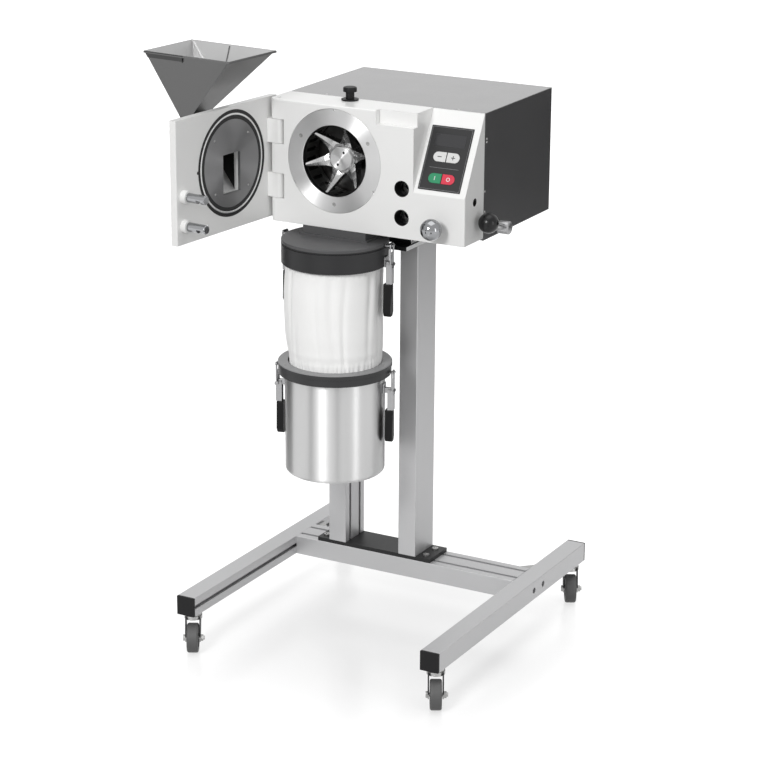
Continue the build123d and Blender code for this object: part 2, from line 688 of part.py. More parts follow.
with BuildPart() as chamber_ring:
    rod((chamber_x, house_front, chamber_z), (0, 1, 0), ring_outer, ring_thickness)
    rod((chamber_x, house_front, chamber_z), (0, 1, 0), ring_inner, ring_thickness, Mode.SUBTRACT)
    chamfer(chamber_ring.edges().filter_by(GeomType.CIRCLE).group_by(Axis.Y)[0], 0.8)
    for angle in (30.0, 150.0, 270.0):
        a = radians(angle)
        spot = (chamber_x + ring_screw_circle * cos(a), house_front, chamber_z + ring_screw_circle * sin(a))
        rod(spot, (0, 1, 0), ring_screw_radius + same_body_gap, 4.0, Mode.SUBTRACT)
    for angle in (90.0, 210.0, 330.0):
        a = radians(angle)
        spot = (chamber_x + ring_notch_circle * cos(a), house_front, chamber_z + ring_notch_circle * sin(a))
        rod(spot, (0, 1, 0), ring_notch_radius, 3.0, Mode.SUBTRACT)
write(chamber_ring.part, "chamber_ring")

with BuildPart() as ring_sieve:
    sieve_front = ring_back + 0.2
    rod((chamber_x, sieve_front, chamber_z), (0, 1, 0), sieve_inner + sieve_sheet, sieve_back - sieve_front)
    rod((chamber_x, sieve_front, chamber_z), (0, 1, 0), sieve_inner, sieve_back - sieve_front, Mode.SUBTRACT)
    sieve_middle = (sieve_front + sieve_back) / 2
    for k in range(sieve_slots // 2):
        turn = Location((chamber_x, sieve_middle, chamber_z), (0, 1, 0), 360.0 * (k + 0.5) / sieve_slots)
        with Locations(turn):
            Box(2 * sieve_inner + 10.0, sieve_slot_length, sieve_slot_width, mode=Mode.SUBTRACT)
write(ring_sieve.part, "ring_sieve")


def blade_section(angle, radius, width, back, shoulder, ridge):
    """One cross-section of a rotor blade, square to its own radius, with a ridge towards the front."""
    a = radians(angle)
    plane = Plane((chamber_x + radius * cos(a), 0, chamber_z + radius * sin(a)),
                  x_dir=(0, 1, 0), z_dir=(cos(a), 0, sin(a)))
    with BuildSketch(plane) as section:
        with BuildLine():
            Polyline((back, -width / 2), (shoulder, -width / 2), (ridge, 0), (shoulder, width / 2),
                     (back, width / 2), close=True)
        make_face()
    return section.sketch


with BuildPart() as rotor:
    hub_front, hub_back = rotor_hub_y
    rod((chamber_x, hub_front, chamber_z), (0, 1, 0), rotor_hub_radius, hub_back - hub_front)
    for k in range(rotor_blades):
        angle = rotor_phase + 360.0 * k / rotor_blades
        root = blade_section(angle, rotor_hub_radius - blade_root_sink, blade_root_width,
                             hub_back - blade_overhang, hub_front + blade_overhang, hub_front + 1.0)
        between = [blade_section(angle, radius, width, hub_front + back, hub_front + shoulder,
                                 hub_front + ridge) for radius, width, back, shoulder, ridge in blade_stations]
        tip = blade_section(angle, rotor_tip_radius, blade_tip_width, rotor_tip_front + blade_tip_depth,
                            rotor_tip_front + blade_tip_bevel, rotor_tip_front)
        loft(sections=[root, *between, tip], ruled=True)
    rod((chamber_x, hub_front, chamber_z), (0, 1, 0), shaft_radius + same_body_gap, hub_back - hub_front,
        Mode.SUBTRACT)
write(rotor.part, "rotor")

with BuildPart() as rotor_cap:
    rod((chamber_x, hub_front, chamber_z), (0, -1, 0), rotor_cap_radius, rotor_cap_thickness)
    chamfer(rotor_cap.edges().filter_by(GeomType.CIRCLE).group_by(Axis.Y)[0], 1.0)
    for turn in (0.0, 180.0):
        a = radians(spanner_hole_angle + turn)
        spot = (chamber_x + spanner_hole_circle * cos(a), hub_front - rotor_cap_thickness,
                chamber_z + spanner_hole_circle * sin(a))
        rod(spot, (0, 1, 0), spanner_hole_radius, 3.0, Mode.SUBTRACT)
write(rotor_cap.part, "rotor_cap")

with BuildPart() as main_shaft:
    rod((chamber_x, shaft_y[0], chamber_z), (0, 1, 0), shaft_radius, shaft_y[1] - shaft_y[0])
    rod((chamber_x, pulley_y[0], chamber_z), (0, 1, 0), driven_pulley_radius, pulley_y[1] - pulley_y[0])
write(main_shaft.part, "main_shaft")

with BuildPart() as main_bearings:
    for y in bearing_y:
        rod((chamber_x, y, chamber_z), (0, 1, 0), bearing_radius - 0.02, bearing_width)
        rod((chamber_x, y, chamber_z), (0, 1, 0), shaft_radius + running_gap, bearing_width, Mode.SUBTRACT)
write(main_bearings.part, "main_bearings")

# ================================================================ drive
with BuildPart() as motor:
    rod((motor_x, motor_y[0], motor_z), (0, 1, 0), motor_radius - motor_fin_height, motor_y[1] - motor_y[0])
    rod((motor_x, motor_y[0] - motor_foot_thickness, motor_z), (0, 1, 0), motor_nose_radius,
        motor_foot_thickness)
    for k in range(motor_fins):
        turn = Location((motor_x, (motor_y[0] + motor_y[1]) / 2, motor_z), (0, 1, 0), 360.0 * k / motor_fins)
        with Locations(turn):
            with Locations((motor_radius - motor_fin_height, 0, 0)):
                Box(2 * motor_fin_height, motor_y[1] - motor_y[0] - 24.0, motor_fin_width)
    rod((motor_x, motor_y[0] - motor_foot_thickness, motor_z), (0, 1, 0), motor_shaft_radius + running_gap,
        motor_foot_thickness + motor_bore_depth, Mode.SUBTRACT)
write(motor.part, "motor")

with BuildPart() as motor_pulley:
    rod((motor_x, pulley_y[0] - 4.0, motor_z), (0, 1, 0), motor_shaft_radius,
        motor_y[0] + motor_bore_depth - pulley_y[0] + 3.0)
    rod((motor_x, pulley_y[0], motor_z), (0, 1, 0), motor_pulley_radius, pulley_y[1] - pulley_y[0])
write(motor_pulley.part, "motor_pulley")


def belt_loop(extra):
    """Tangent loop round both pulleys, a given distance off their rims."""
    with BuildSketch(Plane.XZ.offset(-pulley_y[0] - belt_margin)) as loop:
        with Locations((chamber_x, chamber_z)):
            Circle(driven_pulley_radius + extra)
        with Locations((motor_x, motor_z)):
            Circle(motor_pulley_radius + extra)
        make_hull()
    return loop.sketch


with BuildPart() as belt:
    belt_width = pulley_y[1] - pulley_y[0] - 2 * belt_margin
    extrude(belt_loop(belt_gap + belt_thickness), amount=-belt_width)
    extrude(belt_loop(belt_gap), amount=-belt_width, mode=Mode.SUBTRACT)
write(belt.part, "belt")

# ================================================================ control panel and keys
key_left = key_middle_x - key_half_gap
key_right = key_middle_x + key_half_gap


def key_outline(row, side, grow):
    """Outline of one key: square towards the middle, round at its outer end."""
    end = key_height / 2
    near = key_left if side < 0 else key_right
    far = near + side * (key_width - end)
    with BuildSketch() as outline:
        with Locations(((near + far) / 2, row)):
            Rectangle(abs(far - near), key_height)
        with Locations((far, row)):
            Circle(end)
        if grow:
            offset(amount=grow, kind=Kind.INTERSECTION)
    return outline.sketch


with BuildPart() as membrane_panel:
    with BuildSketch(face_plane.offset(-panel_recess)):
        with Locations(((panel_x[0] + panel_x[1]) / 2, (panel_s[0] + panel_s[1]) / 2)):
            RectangleRounded(panel_x[1] - panel_x[0], panel_s[1] - panel_s[0], 1.0)
    extrude(amount=panel_thickness)
    with BuildSketch(face_plane.offset(panel_thickness - panel_recess)):
        with Locations(((window_x[0] + window_x[1]) / 2, (window_s[0] + window_s[1]) / 2)):
            RectangleRounded(window_x[1] - window_x[0], window_s[1] - window_s[0], 1.5)
    extrude(amount=-window_depth, mode=Mode.SUBTRACT)
    for row in key_rows:
        for side in (-1, 1):
            hole = face_plane.offset(-panel_recess) * key_outline(row, side, key_fit)
            extrude(hole, amount=panel_thickness, mode=Mode.SUBTRACT)
write(membrane_panel.part, "membrane_panel")

for name, row, side in (("key_start", key_rows[0], -1), ("key_stop", key_rows[0], 1),
                        ("key_minus", key_rows[1], -1), ("key_plus", key_rows[1], 1)):
    with BuildPart() as key:
        extrude(face_plane.offset(-key_cap_depth) * key_outline(row, side, 0),
                amount=key_cap_depth + key_proud)
        fillet(key.faces().sort_by(Axis((0, 0, 0), tuple(slope_out)))[-1].edges(), 0.6)
        stem = face_plane.offset(-key_cap_depth)
        with BuildSketch(stem):
            with Locations((key_middle_x + side * key_width / 2, row)):
                Circle(key_stem_radius)
        extrude(amount=-(key_stem_end - key_cap_depth))
    write(key.part, name)

with BuildPart() as control_board:
    with BuildSketch(face_plane.offset(-casting_wall)):
        with Locations(((panel_x[0] + panel_x[1]) / 2, (panel_s[0] + panel_s[1]) / 2)):
            Rectangle(panel_x[1] - panel_x[0] - 10.0, panel_s[1] - panel_s[0] - 10.0)
    extrude(amount=-board_thickness)
write(control_board.part, "control_board")

# ================================================================ knobs and lock
with BuildPart() as black_bushes:
    for z in lock_z:
        rod((lock_x, house_front, z), (0, 1, 0), socket_radius - same_body_gap, socket_depth)
        rod((lock_x, house_front, z), (0, 1, 0), socket_radius - socket_liner, socket_depth, Mode.SUBTRACT)
    rod((plunger_x, plunger_y, house_top), (0, 0, 1), plunger_flange_radius, plunger_flange_thickness)
    rod((plunger_x, plunger_y, house_top), (0, 0, 1), plunger_stem_radius + running_gap,
        plunger_flange_thickness, Mode.SUBTRACT)
write(black_bushes.part, "black_bushes")

with BuildPart() as plunger_knob:
    neck_bottom = house_top + plunger_flange_thickness + 0.3
    head_bottom = neck_bottom + plunger_neck_height
    rod((plunger_x, plunger_y, neck_bottom), (0, 0, 1), plunger_neck_radius, plunger_neck_height)
    rod((plunger_x, plunger_y, head_bottom), (0, 0, 1), plunger_head_radius, plunger_head_height)
    fillet(plunger_knob.edges().filter_by(GeomType.CIRCLE).group_by(Axis.Z)[-1], 3.0)
    rod((plunger_x, plunger_y, neck_bottom), (0, 0, -1), plunger_stem_radius,
        plunger_stem_length + plunger_flange_thickness)
write(plunger_knob.part, "plunger_knob")

with BuildPart() as release_knob:
    with Locations((release_x, release_ball_y, release_z)):
        Sphere(release_ball_radius)
    rod((release_x, release_ball_y, release_z), (0, 1, 0), release_stem_radius, 45.0)
    collar_y = house_front + casting_wall + release_travel + 1.0
    rod((release_x, collar_y, release_z), (0, 1, 0), release_stem_radius + 3.0, 3.0)
write(release_knob.part, "release_knob")

cam_y = lever_y - lever_cam_offset * cos(radians(lever_cam_angle))
cam_z = lever_z + lever_cam_offset * sin(radians(lever_cam_angle))

with BuildPart() as lever_steel:
    rod((lever_shaft_left, lever_y, lever_z), (1, 0, 0), lever_shaft_radius,
        lever_hub_x[1] - lever_shaft_left)
    rod((lever_hub_x[0], lever_y, lever_z), (1, 0, 0), lever_hub_radius, lever_hub_x[1] - lever_hub_x[0])
    chamfer(lever_steel.edges().filter_by(GeomType.CIRCLE).group_by(Axis.X)[-1], 1.2)
    rod((lock_x - lever_cam_width / 2, cam_y, cam_z), (1, 0, 0), lever_cam_radius, lever_cam_width)
    hub_middle = Vector((lever_hub_x[0] + lever_hub_x[1]) / 2, lever_y, lever_z)
    arm = Vector(*lever_ball) - hub_middle
    rod(tuple(hub_middle), tuple(arm), lever_arm_radius, arm.length - lever_ball_radius + 1.0)
    with Locations(lever_ball):
        Sphere(lever_ball_radius + same_body_gap, mode=Mode.SUBTRACT)
with BuildPart() as lever_knob:
    with Locations(lever_ball):
        Sphere(lever_ball_radius)
write(Compound(children=[lever_steel.part, lever_knob.part]), "lock_lever")

with BuildPart() as lock_slide:
    slide_bottom = cam_z + lever_cam_radius + slide_gap
    slab((lock_x - slide_half_width, lock_x + slide_half_width), slide_y,
         (slide_bottom, lock_z[1] + slide_half_width))
    slab((lock_x - slide_half_width / 2, lock_x + slide_half_width / 2), (slide_y[1], lever_y + 6.0),
         (slide_bottom, slide_bottom + slide_foot))
    with BuildSketch(Plane.XZ.offset(-slide_y[1])):
        for z in lock_z:
            with Locations((lock_x, z)):
                window = 2 * (bolt_radius + slide_window_gap)
                SlotOverall(window + 2 * slide_window_sweep, window)
    extrude(amount=slide_y[1] - slide_y[0], mode=Mode.SUBTRACT)
write(lock_slide.part, "lock_slide")

# ================================================================ door, drawn shut and turned open
door_turn = Location((hinge_x, hinge_y, 0)) * Location((0, 0, 0), (0, 0, -door_open_angle)) * Location(
    (-hinge_x, -hinge_y, 0))
door_face = house_front - door_gap
door_outer = door_face - door_thickness
disc_front = door_face + 0.0
feed_x = (chamber_x - feed_width / 2, chamber_x + feed_width / 2)

with BuildPart() as door:
    slab((door_left, door_right), (door_outer, door_face), door_z)
    fillet(door.edges().filter_by(Axis.Z).group_by(Axis.X)[-1], door_edge)
    for low, high in lug_z:
        with BuildSketch(Plane.XY.offset(low)) as lug:
            with BuildLine():
                Polyline((house_left, door_face - 4.0), (hinge_x + lug_right, door_face - 4.0),
                         (hinge_x + lug_right, hinge_y + lug_reach), (house_left, hinge_y + lug_reach),
                         close=True)
            make_face()
            fillet(lug.vertices().group_by(Axis.Y)[-1], lug_corner)
        extrude(amount=high - low)
    rod((hinge_x, hinge_y, lug_z[0][0]), (0, 0, 1), hinge_pin_radius + running_gap, lug_z[1][1] - lug_z[0][0],
        Mode.SUBTRACT)
    rod((chamber_x, door_face, chamber_z), (0, -1, 0), disc_radius + same_body_gap, disc_thickness,
        Mode.SUBTRACT)
    slab(feed_x, (door_outer, door_face), feed_z, Mode.SUBTRACT)
write(door_turn * door.part, "door")

with BuildPart() as door_disc:
    rod((chamber_x, disc_front, chamber_z), (0, -1, 0), disc_radius, disc_thickness)
    for low, high in (seal_outer, seal_inner):
        with BuildSketch(Plane.XZ.offset(-disc_front)):
            with Locations((chamber_x, chamber_z)):
                Circle(high)
                Circle(low, mode=Mode.SUBTRACT)
        extrude(amount=seal_depth, mode=Mode.SUBTRACT)
    slab(feed_x, (door_outer, disc_front), feed_z, Mode.SUBTRACT)
    for angle in (45.0, 135.0, 225.0, 315.0):
        a = radians(angle)
        spot = (chamber_x + disc_screw_circle * cos(a), disc_front, chamber_z + disc_screw_circle * sin(a))
        rod(spot, (0, -1, 0), disc_screw_radius, 1.2, Mode.SUBTRACT)
write(door_turn * door_disc.part, "door_disc")

with BuildPart() as door_seals:
    for low, high in (seal_outer, seal_inner):
        with BuildSketch(Plane.XZ.offset(-disc_front + seal_depth)):
            with Locations((chamber_x, chamber_z)):
                Circle(high - same_body_gap)
                Circle(low + same_body_gap, mode=Mode.SUBTRACT)
        extrude(amount=-seal_depth - seal_proud)
write(door_turn * door_seals.part, "door_seals")

with BuildPart() as lock_bolts:
    for z in lock_z:
        rod((lock_x, door_face, z), (0, 1, 0), boss_radius, boss_length)
        rod((lock_x, door_face + boss_length, z), (0, 1, 0), bolt_radius, bolt_length)
        notch_end = door_face + boss_length + bolt_length - 9.0
        slab((lock_x - bolt_radius, lock_x + bolt_radius), (notch_end - bolt_notch_width, notch_end),
             (z - bolt_radius, z - bolt_radius + bolt_notch), Mode.SUBTRACT)
    chamfer(lock_bolts.edges().filter_by(GeomType.CIRCLE).group_by(Axis.Y)[-1], 1.5)
write(door_turn * lock_bolts.part, "lock_bolts")

mouth_out, mouth_in = chute_mouth_y


def chute_profile(grow):
    """Side view of the feed channel, grown outwards by a wall thickness."""
    return [(door_outer, feed_z[0] - grow), (mouth_out - grow, chute_floor_z - grow * 0.6),
            (mouth_out - grow, chute_mouth_z), (mouth_in + grow, chute_mouth_z),
            (door_outer, feed_z[1] + grow * 1.2)]


with BuildPart() as feed_chute:
    with BuildSketch(Plane.YZ.offset(feed_x[0] - chute_wall)):
        with BuildLine():
            Polyline(*chute_profile(chute_wall), close=True)
        make_face()
    extrude(amount=feed_width + 2 * chute_wall)
    slab((feed_x[0] - chute_flange, feed_x[1] + chute_flange),
         (door_outer - chute_flange_thickness, door_outer),
         (feed_z[0] - chute_flange, feed_z[1] + chute_flange))
    with BuildSketch(Plane.YZ.offset(feed_x[0])):
        with BuildLine():
            Polyline(*chute_profile(0.0), close=True)
        make_face()
    extrude(amount=feed_width, mode=Mode.SUBTRACT)
write(door_turn * feed_chute.part, "feed_chute")

neck_x_half = feed_width / 2 - hopper_fit
neck_y = (mouth_out + hopper_fit, mouth_in - hopper_fit)
neck_mid_y = sum(neck_y) / 2
rim_mid_y = sum(hopper_rim_y) / 2
rim_z = chute_mouth_z + hopper_height


def hopper_section(z, x_size, y_size, y_middle):
    """One level of the hopper's four walls."""
    with BuildSketch(Plane.XY.offset(z)) as level:
        with Locations((chamber_x, y_middle)):
            Rectangle(x_size, y_size)
    return level.sketch


with BuildPart() as hopper:
    rim_y_size = hopper_rim_y[1] - hopper_rim_y[0]
    neck_y_size = neck_y[1] - neck_y[0]
    hopper_low = chute_mouth_z + 1.0
    loft(sections=[hopper_section(hopper_low, 2 * neck_x_half, neck_y_size, neck_mid_y),
                   hopper_section(rim_z, hopper_rim_x, rim_y_size, rim_mid_y)])
    slab((chamber_x - neck_x_half, chamber_x + neck_x_half), neck_y,
         (chute_mouth_z - hopper_neck_drop, hopper_low))
    slab((chamber_x - hopper_rim_x / 2 - hopper_sheet, chamber_x + hopper_rim_x / 2 + hopper_sheet),
         (hopper_rim_y[0] - hopper_sheet, hopper_rim_y[1] + hopper_sheet), (rim_z - hopper_rim_fold, rim_z))
    thin = 2 * hopper_sheet
    loft(sections=[hopper_section(hopper_low, 2 * neck_x_half - thin, neck_y_size - thin, neck_mid_y),
                   hopper_section(rim_z, hopper_rim_x - thin, rim_y_size - thin, rim_mid_y)],
         mode=Mode.SUBTRACT)
    slab((chamber_x - neck_x_half + hopper_sheet, chamber_x + neck_x_half - hopper_sheet),
         (neck_y[0] + hopper_sheet, neck_y[1] - hopper_sheet), (chute_mouth_z - hopper_neck_drop, hopper_low),
         Mode.SUBTRACT)
write(door_turn * hopper.part, "hopper")

# ================================================================ collector
neck_top = casting_bottom

with BuildPart() as outlet_flange:
    rod((collector_x, collector_y, flange_z[0]), (0, 0, 1), flange_radius, flange_z[1] - flange_z[0])
    fillet(outlet_flange.edges().filter_by(GeomType.CIRCLE).group_by(Axis.Z)[-1], 1.5)
    slab(neck_x, (house_front, neck_back), (flange_z[1], neck_top))
    slab((neck_x[0] - neck_ledge, neck_x[1] + neck_ledge), (house_front - neck_ledge, neck_back),
         (flange_z[1], flange_z[1] + 3.0))
    slab(outlet_x, outlet_y, (flange_z[0], neck_top), Mode.SUBTRACT)
write(outlet_flange.part, "outlet_flange")

with BuildPart() as sleeve_top_ring:
    rod((collector_x, collector_y, top_ring_z[0]), (0, 0, 1), flange_radius, top_ring_z[1] - top_ring_z[0])
    chamfer(sleeve_top_ring.edges().filter_by(GeomType.CIRCLE).group_by(Axis.Z)[0], 2.0)
    rod((collector_x, collector_y, top_ring_z[1] - 3.0), (0, 0, 1), flange_radius + 1.0, 3.0, Mode.SUBTRACT)
    rod((collector_x, collector_y, top_ring_z[1] - 3.0), (0, 0, 1), flange_radius - top_ring_rebate, 3.2)
    rod((collector_x, collector_y, top_ring_z[0]), (0, 0, 1), top_ring_inner, 60.0, Mode.SUBTRACT)
write(sleeve_top_ring.part, "sleeve_top_ring")

with BuildPart() as sleeve_bottom_ring:
    low, high = bottom_ring_z
    rod((collector_x, collector_y, low), (0, 0, 1), bottom_ring_radius - bottom_ring_step,
        bottom_ring_line_z - low)
    rod((collector_x, collector_y, bottom_ring_line_z), (0, 0, 1), bottom_ring_radius,
        high - bottom_ring_line_z)
    chamfer(sleeve_bottom_ring.edges().filter_by(GeomType.CIRCLE).group_by(Axis.Z)[-1], 1.5)
    rod((collector_x, collector_y, low), (0, 0, 1), bottom_ring_inner, high - low, Mode.SUBTRACT)
    with BuildSketch(Plane.XY.offset(low)):
        with Locations((collector_x, collector_y)):
            Circle(pot_radius + pot_groove_gap)
            Circle(pot_radius - pot_wall - pot_groove_gap, mode=Mode.SUBTRACT)
    extrude(amount=pot_seat + pot_groove_gap, mode=Mode.SUBTRACT)
write(sleeve_bottom_ring.part, "sleeve_bottom_ring")

with BuildPart() as collecting_pot:
    pot_top = bottom_ring_z[0] + pot_seat
    rod((collector_x, collector_y, pot_bottom), (0, 0, 1), pot_radius, pot_top - pot_bottom)
    fillet(collecting_pot.edges().filter_by(GeomType.CIRCLE).group_by(Axis.Z)[0], pot_corner)
    offset(amount=-pot_wall, openings=collecting_pot.faces().sort_by(Axis.Z)[-1])
write(collecting_pot.part, "collecting_pot")

sleeve_low = bottom_ring_z[0] + 10.0
sleeve_high = top_ring_z[0] + 12.0
sleeve_foot = bottom_ring_inner - sleeve_seat_gap
sleeve_head = top_ring_inner - sleeve_seat_gap
# z, radius, fold depth
sleeve_levels = ((sleeve_low, sleeve_foot, 0.6), (bottom_ring_z[1], sleeve_foot, 1.6),
                 (bottom_ring_z[1] + 16.0, sleeve_foot + 0.6, 3.4),
                 (bottom_ring_z[1] + 65.0, sleeve_waist, 3.0),
                 (top_ring_z[0] - 75.0, sleeve_waist + 0.5, 2.4),
                 (top_ring_z[0] - 22.0, sleeve_waist + 0.5, 2.6),
                 (top_ring_z[0], sleeve_head - 0.4, 1.4), (sleeve_high, sleeve_head, 0.6))


def sleeve_section(z, radius, depth):
    """One level of the cloth: a ring of shallow arcs that meet in the creases between its folds."""
    creases = []
    for k in range(sleeve_folds):
        turn = 360.0 / sleeve_folds * (k + 0.22 * sin(2.4 * k))
        creases.append(radians(turn))
    with BuildSketch(Plane.XY.offset(z)) as level:
        with BuildLine():
            for k in range(sleeve_folds):
                here = creases[k]
                there = creases[(k + 1) % sleeve_folds] + (radians(360.0) if k == sleeve_folds - 1 else 0.0)
                crest = (here + there) / 2
                spots = [(radius - depth, here), (radius, crest), (radius - depth, there)]
                points = [(collector_x + r * cos(a), collector_y + r * sin(a)) for r, a in spots]
                ThreePointArc(*points)
        make_face()
    return level.sketch


with BuildPart() as filter_sleeve:
    loft(sections=[sleeve_section(*level) for level in sleeve_levels], ruled=True)
    loft(sections=[sleeve_section(z, radius - sleeve_wall, depth) for z, radius, depth in sleeve_levels],
         ruled=True, mode=Mode.SUBTRACT)
write(filter_sleeve.part, "filter_sleeve")

# ================================================================ toggle latches
def latch_place(angle, rise):
    """Puts a latch drawn along +X at its angle round the collector and at its height."""
    return Location((collector_x, collector_y, rise), (0, 0, angle))


def latch_base(seat_radius):
    """Riveted plate with a block that carries the lever's pin."""
    with BuildPart() as base:
        slab((seat_radius + latch_seat_gap, seat_radius + latch_seat_gap + latch_plate),
             (-latch_plate_half, latch_plate_half), (latch_pivot_z - 6.0, latch_pivot_z + 14.0))
        slab((seat_radius + latch_seat_gap, latch_pivot_r + 4.5), (-latch_block_half, latch_block_half),
             (latch_pivot_z - 5.0, latch_pivot_z + 5.0))
        rod((latch_pivot_r, -latch_lever_half - 0.8, latch_pivot_z), (0, 1, 0), latch_pin_radius,
            2 * latch_lever_half + 1.6)
    return base.part


def latch_catch(seat_radius):
    """Hooked lug that the bail is pulled down over."""
    catch_top = latch_bail_top - latch_bail_wire - 0.3
    with BuildPart() as catch:
        slab((seat_radius + latch_seat_gap, latch_bail_r + 4.0), (-catch_half, catch_half),
             (catch_top - catch_plate, catch_top))
        slab((latch_bail_r + latch_bail_wire + 0.4, latch_bail_r + 4.0), (-catch_half, catch_half),
             (catch_top, catch_top + catch_lip))
    return catch.part


def latch_lever():
    """Folded steel lever over the pin block, and the moulded grip on its lower end."""
    inner = latch_pivot_r - latch_pivot_eye
    outer = latch_lever_front
    half = latch_lever_half
    grip_low, grip_high = latch_grip_z
    tang = (inner + 2.0, outer - 2.0), (2.0 - half, half - 2.0), (grip_high - 20.0, grip_high + 6.0)
    with BuildPart() as lever:
        for side in (-1, 1):
            with BuildSketch(Plane.XZ.offset(-side * half)):
                with BuildLine():
                    Polyline((inner, grip_high), (outer, grip_high), (outer, latch_pivot_z),
                             (latch_pivot_r, latch_pivot_z + latch_pivot_eye), (inner, latch_pivot_z),
                             close=True)
                make_face()
                with Locations((latch_pivot_r, latch_pivot_z)):
                    Circle(latch_pivot_eye)
                    Circle(latch_pin_radius + running_gap, mode=Mode.SUBTRACT)
            extrude(amount=side * latch_lever_wall)
            rod((latch_bail_r, side * half, latch_bail_z), (0, side, 0), latch_pin_radius, 4.2)
        slab((outer - latch_lever_wall, outer), (-half, half), (grip_high, latch_pivot_z - 8.0))
        slab(*tang)
    with BuildPart() as grip:
        with BuildSketch(Plane.YZ.offset(latch_grip_r[0])):
            with BuildLine():
                Polyline((-latch_grip_half, grip_low + 9.0), (-latch_grip_half + 6.0, grip_low),
                         (latch_grip_half - 6.0, grip_low), (latch_grip_half, grip_low + 9.0),
                         (latch_grip_half - 1.8, grip_high), (1.8 - latch_grip_half, grip_high), close=True)
            make_face()
        extrude(amount=latch_grip_r[1] - latch_grip_r[0])
        fillet(grip.edges().filter_by(Axis.X), 2.5)
        fillet(grip.faces().sort_by(Axis.X)[-1].edges(), 2.5)
        slab(*tang, Mode.SUBTRACT)
    return [lever.part, grip.part]


def latch_bail():
    """Bent wire from the lever's two pins up and over the catch."""
    half = latch_bail_half
    with BuildPart() as bail:
        with BuildLine():
            FilletPolyline((latch_bail_r, -half, latch_bail_z), (latch_bail_r, -half, latch_bail_top),
                           (latch_bail_r, half, latch_bail_top), (latch_bail_r, half, latch_bail_z),
                           radius=3.0)
        with BuildSketch(Plane((latch_bail_r, -half, latch_bail_z), z_dir=(0, 0, 1))):
            Circle(latch_bail_wire)
        sweep()
        for side in (-1, 1):
            eye = (latch_bail_r, side * (half - latch_bail_wire), latch_bail_z)
            rod(eye, (0, side, 0), latch_bail_eye, 2 * latch_bail_wire)
            rod(eye, (0, side, 0), latch_pin_radius + running_gap, 2 * latch_bail_wire, Mode.SUBTRACT)
    return bail.part


mounts = []
latch_sites = [("upper", latch_upper_angles, latch_rise, flange_radius, flange_radius),
               ("lower", latch_lower_angles, 0.0, pot_radius, bottom_ring_radius - bottom_ring_step)]
for level, angles, rise, base_seat, catch_seat in latch_sites:
    for hand, angle in zip(("right", "left"), angles):
        place = latch_place(angle, rise)
        mounts.append(place * latch_base(base_seat))
        mounts.append(place * latch_catch(catch_seat))
        write(Compound(children=[place * piece for piece in latch_lever()]), f"latch_lever_{level}_{hand}")
        write(place * latch_bail(), f"latch_bail_{level}_{hand}")
write(Compound(children=mounts), "latch_mounts")

# ================================================================ small steel hardware of the mill
with BuildPart() as mill_hardware:
    rod((hinge_x, hinge_y, house_top - 3.0), (0, 0, -1), hinge_pin_radius, house_top - lug_z[0][0] + 20.0)
    for angle in (30.0, 150.0, 270.0):
        a = radians(angle)
        spot = (chamber_x + ring_screw_circle * cos(a), house_front + 4.0,
                chamber_z + ring_screw_circle * sin(a))
        rod(spot, (0, -1, 0), ring_screw_radius, 3.6)
        rod((spot[0], spot[1] - 3.6, spot[2]), (0, 1, 0), ring_screw_radius / 2, 2.0, Mode.SUBTRACT)
    for x in cover_screw_x:
        rod((x, casting_back + cover_screw_inset, house_top), (0, 0, -1), cover_screw_radius, 2 * cover_sheet)
write(mill_hardware.part, "mill_hardware")
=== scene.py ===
"""Dresses the laboratory rotor mill: finishes, filter cloth, printed marks, small screws, studio and camera.

Lengths in the classes are millimetres in the CAD frame: X to the operator's right, Y to the back, Z up,
origin on the floor under the crossbar. They are turned to metres where a mesh is made.
"""

import json
import logging
import math
from collections.abc import Callable, Iterable, Sequence
from dataclasses import dataclass, replace
from enum import Enum

import bmesh
import bpy
from mathutils import Matrix, Vector, noise


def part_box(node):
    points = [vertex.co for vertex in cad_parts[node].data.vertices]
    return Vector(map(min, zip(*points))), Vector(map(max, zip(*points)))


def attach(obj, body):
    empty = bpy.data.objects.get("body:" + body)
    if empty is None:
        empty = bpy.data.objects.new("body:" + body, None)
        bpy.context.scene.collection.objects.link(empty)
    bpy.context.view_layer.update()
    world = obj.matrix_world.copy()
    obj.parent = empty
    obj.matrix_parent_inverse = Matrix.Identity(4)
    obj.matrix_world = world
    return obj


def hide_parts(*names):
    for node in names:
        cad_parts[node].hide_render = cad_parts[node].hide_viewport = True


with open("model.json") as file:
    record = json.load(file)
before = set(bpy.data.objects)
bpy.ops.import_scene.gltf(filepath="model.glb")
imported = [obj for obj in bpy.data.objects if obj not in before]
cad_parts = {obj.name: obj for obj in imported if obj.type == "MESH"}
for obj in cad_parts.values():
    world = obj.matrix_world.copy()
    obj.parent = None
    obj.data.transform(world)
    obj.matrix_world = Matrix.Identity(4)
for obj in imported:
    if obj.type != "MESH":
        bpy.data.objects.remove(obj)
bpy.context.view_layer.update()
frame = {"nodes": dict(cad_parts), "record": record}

LOG = logging.getLogger("mill")
MM = 0.001
Point = tuple[float, float, float]
Pair = tuple[float, float]
Tree = bpy.types.NodeTree
Socket = bpy.types.NodeSocket
BMesh = bmesh.types.BMesh


def linear(code: str) -> tuple[float, float, float, float]:
    """Turns an sRGB hex colour into linear RGBA.

    Args:
        code: Colour such as "#E6E6E6".

    Returns:
        Linear red, green, blue and an alpha of 1.
    """
    parts = [int(code[i:i + 2], 16) / 255 for i in (1, 3, 5)]
    r, g, b = (c / 12.92 if c <= 0.04045 else ((c + 0.055) / 1.055) ** 2.4 for c in parts)
    return r, g, b, 1.0


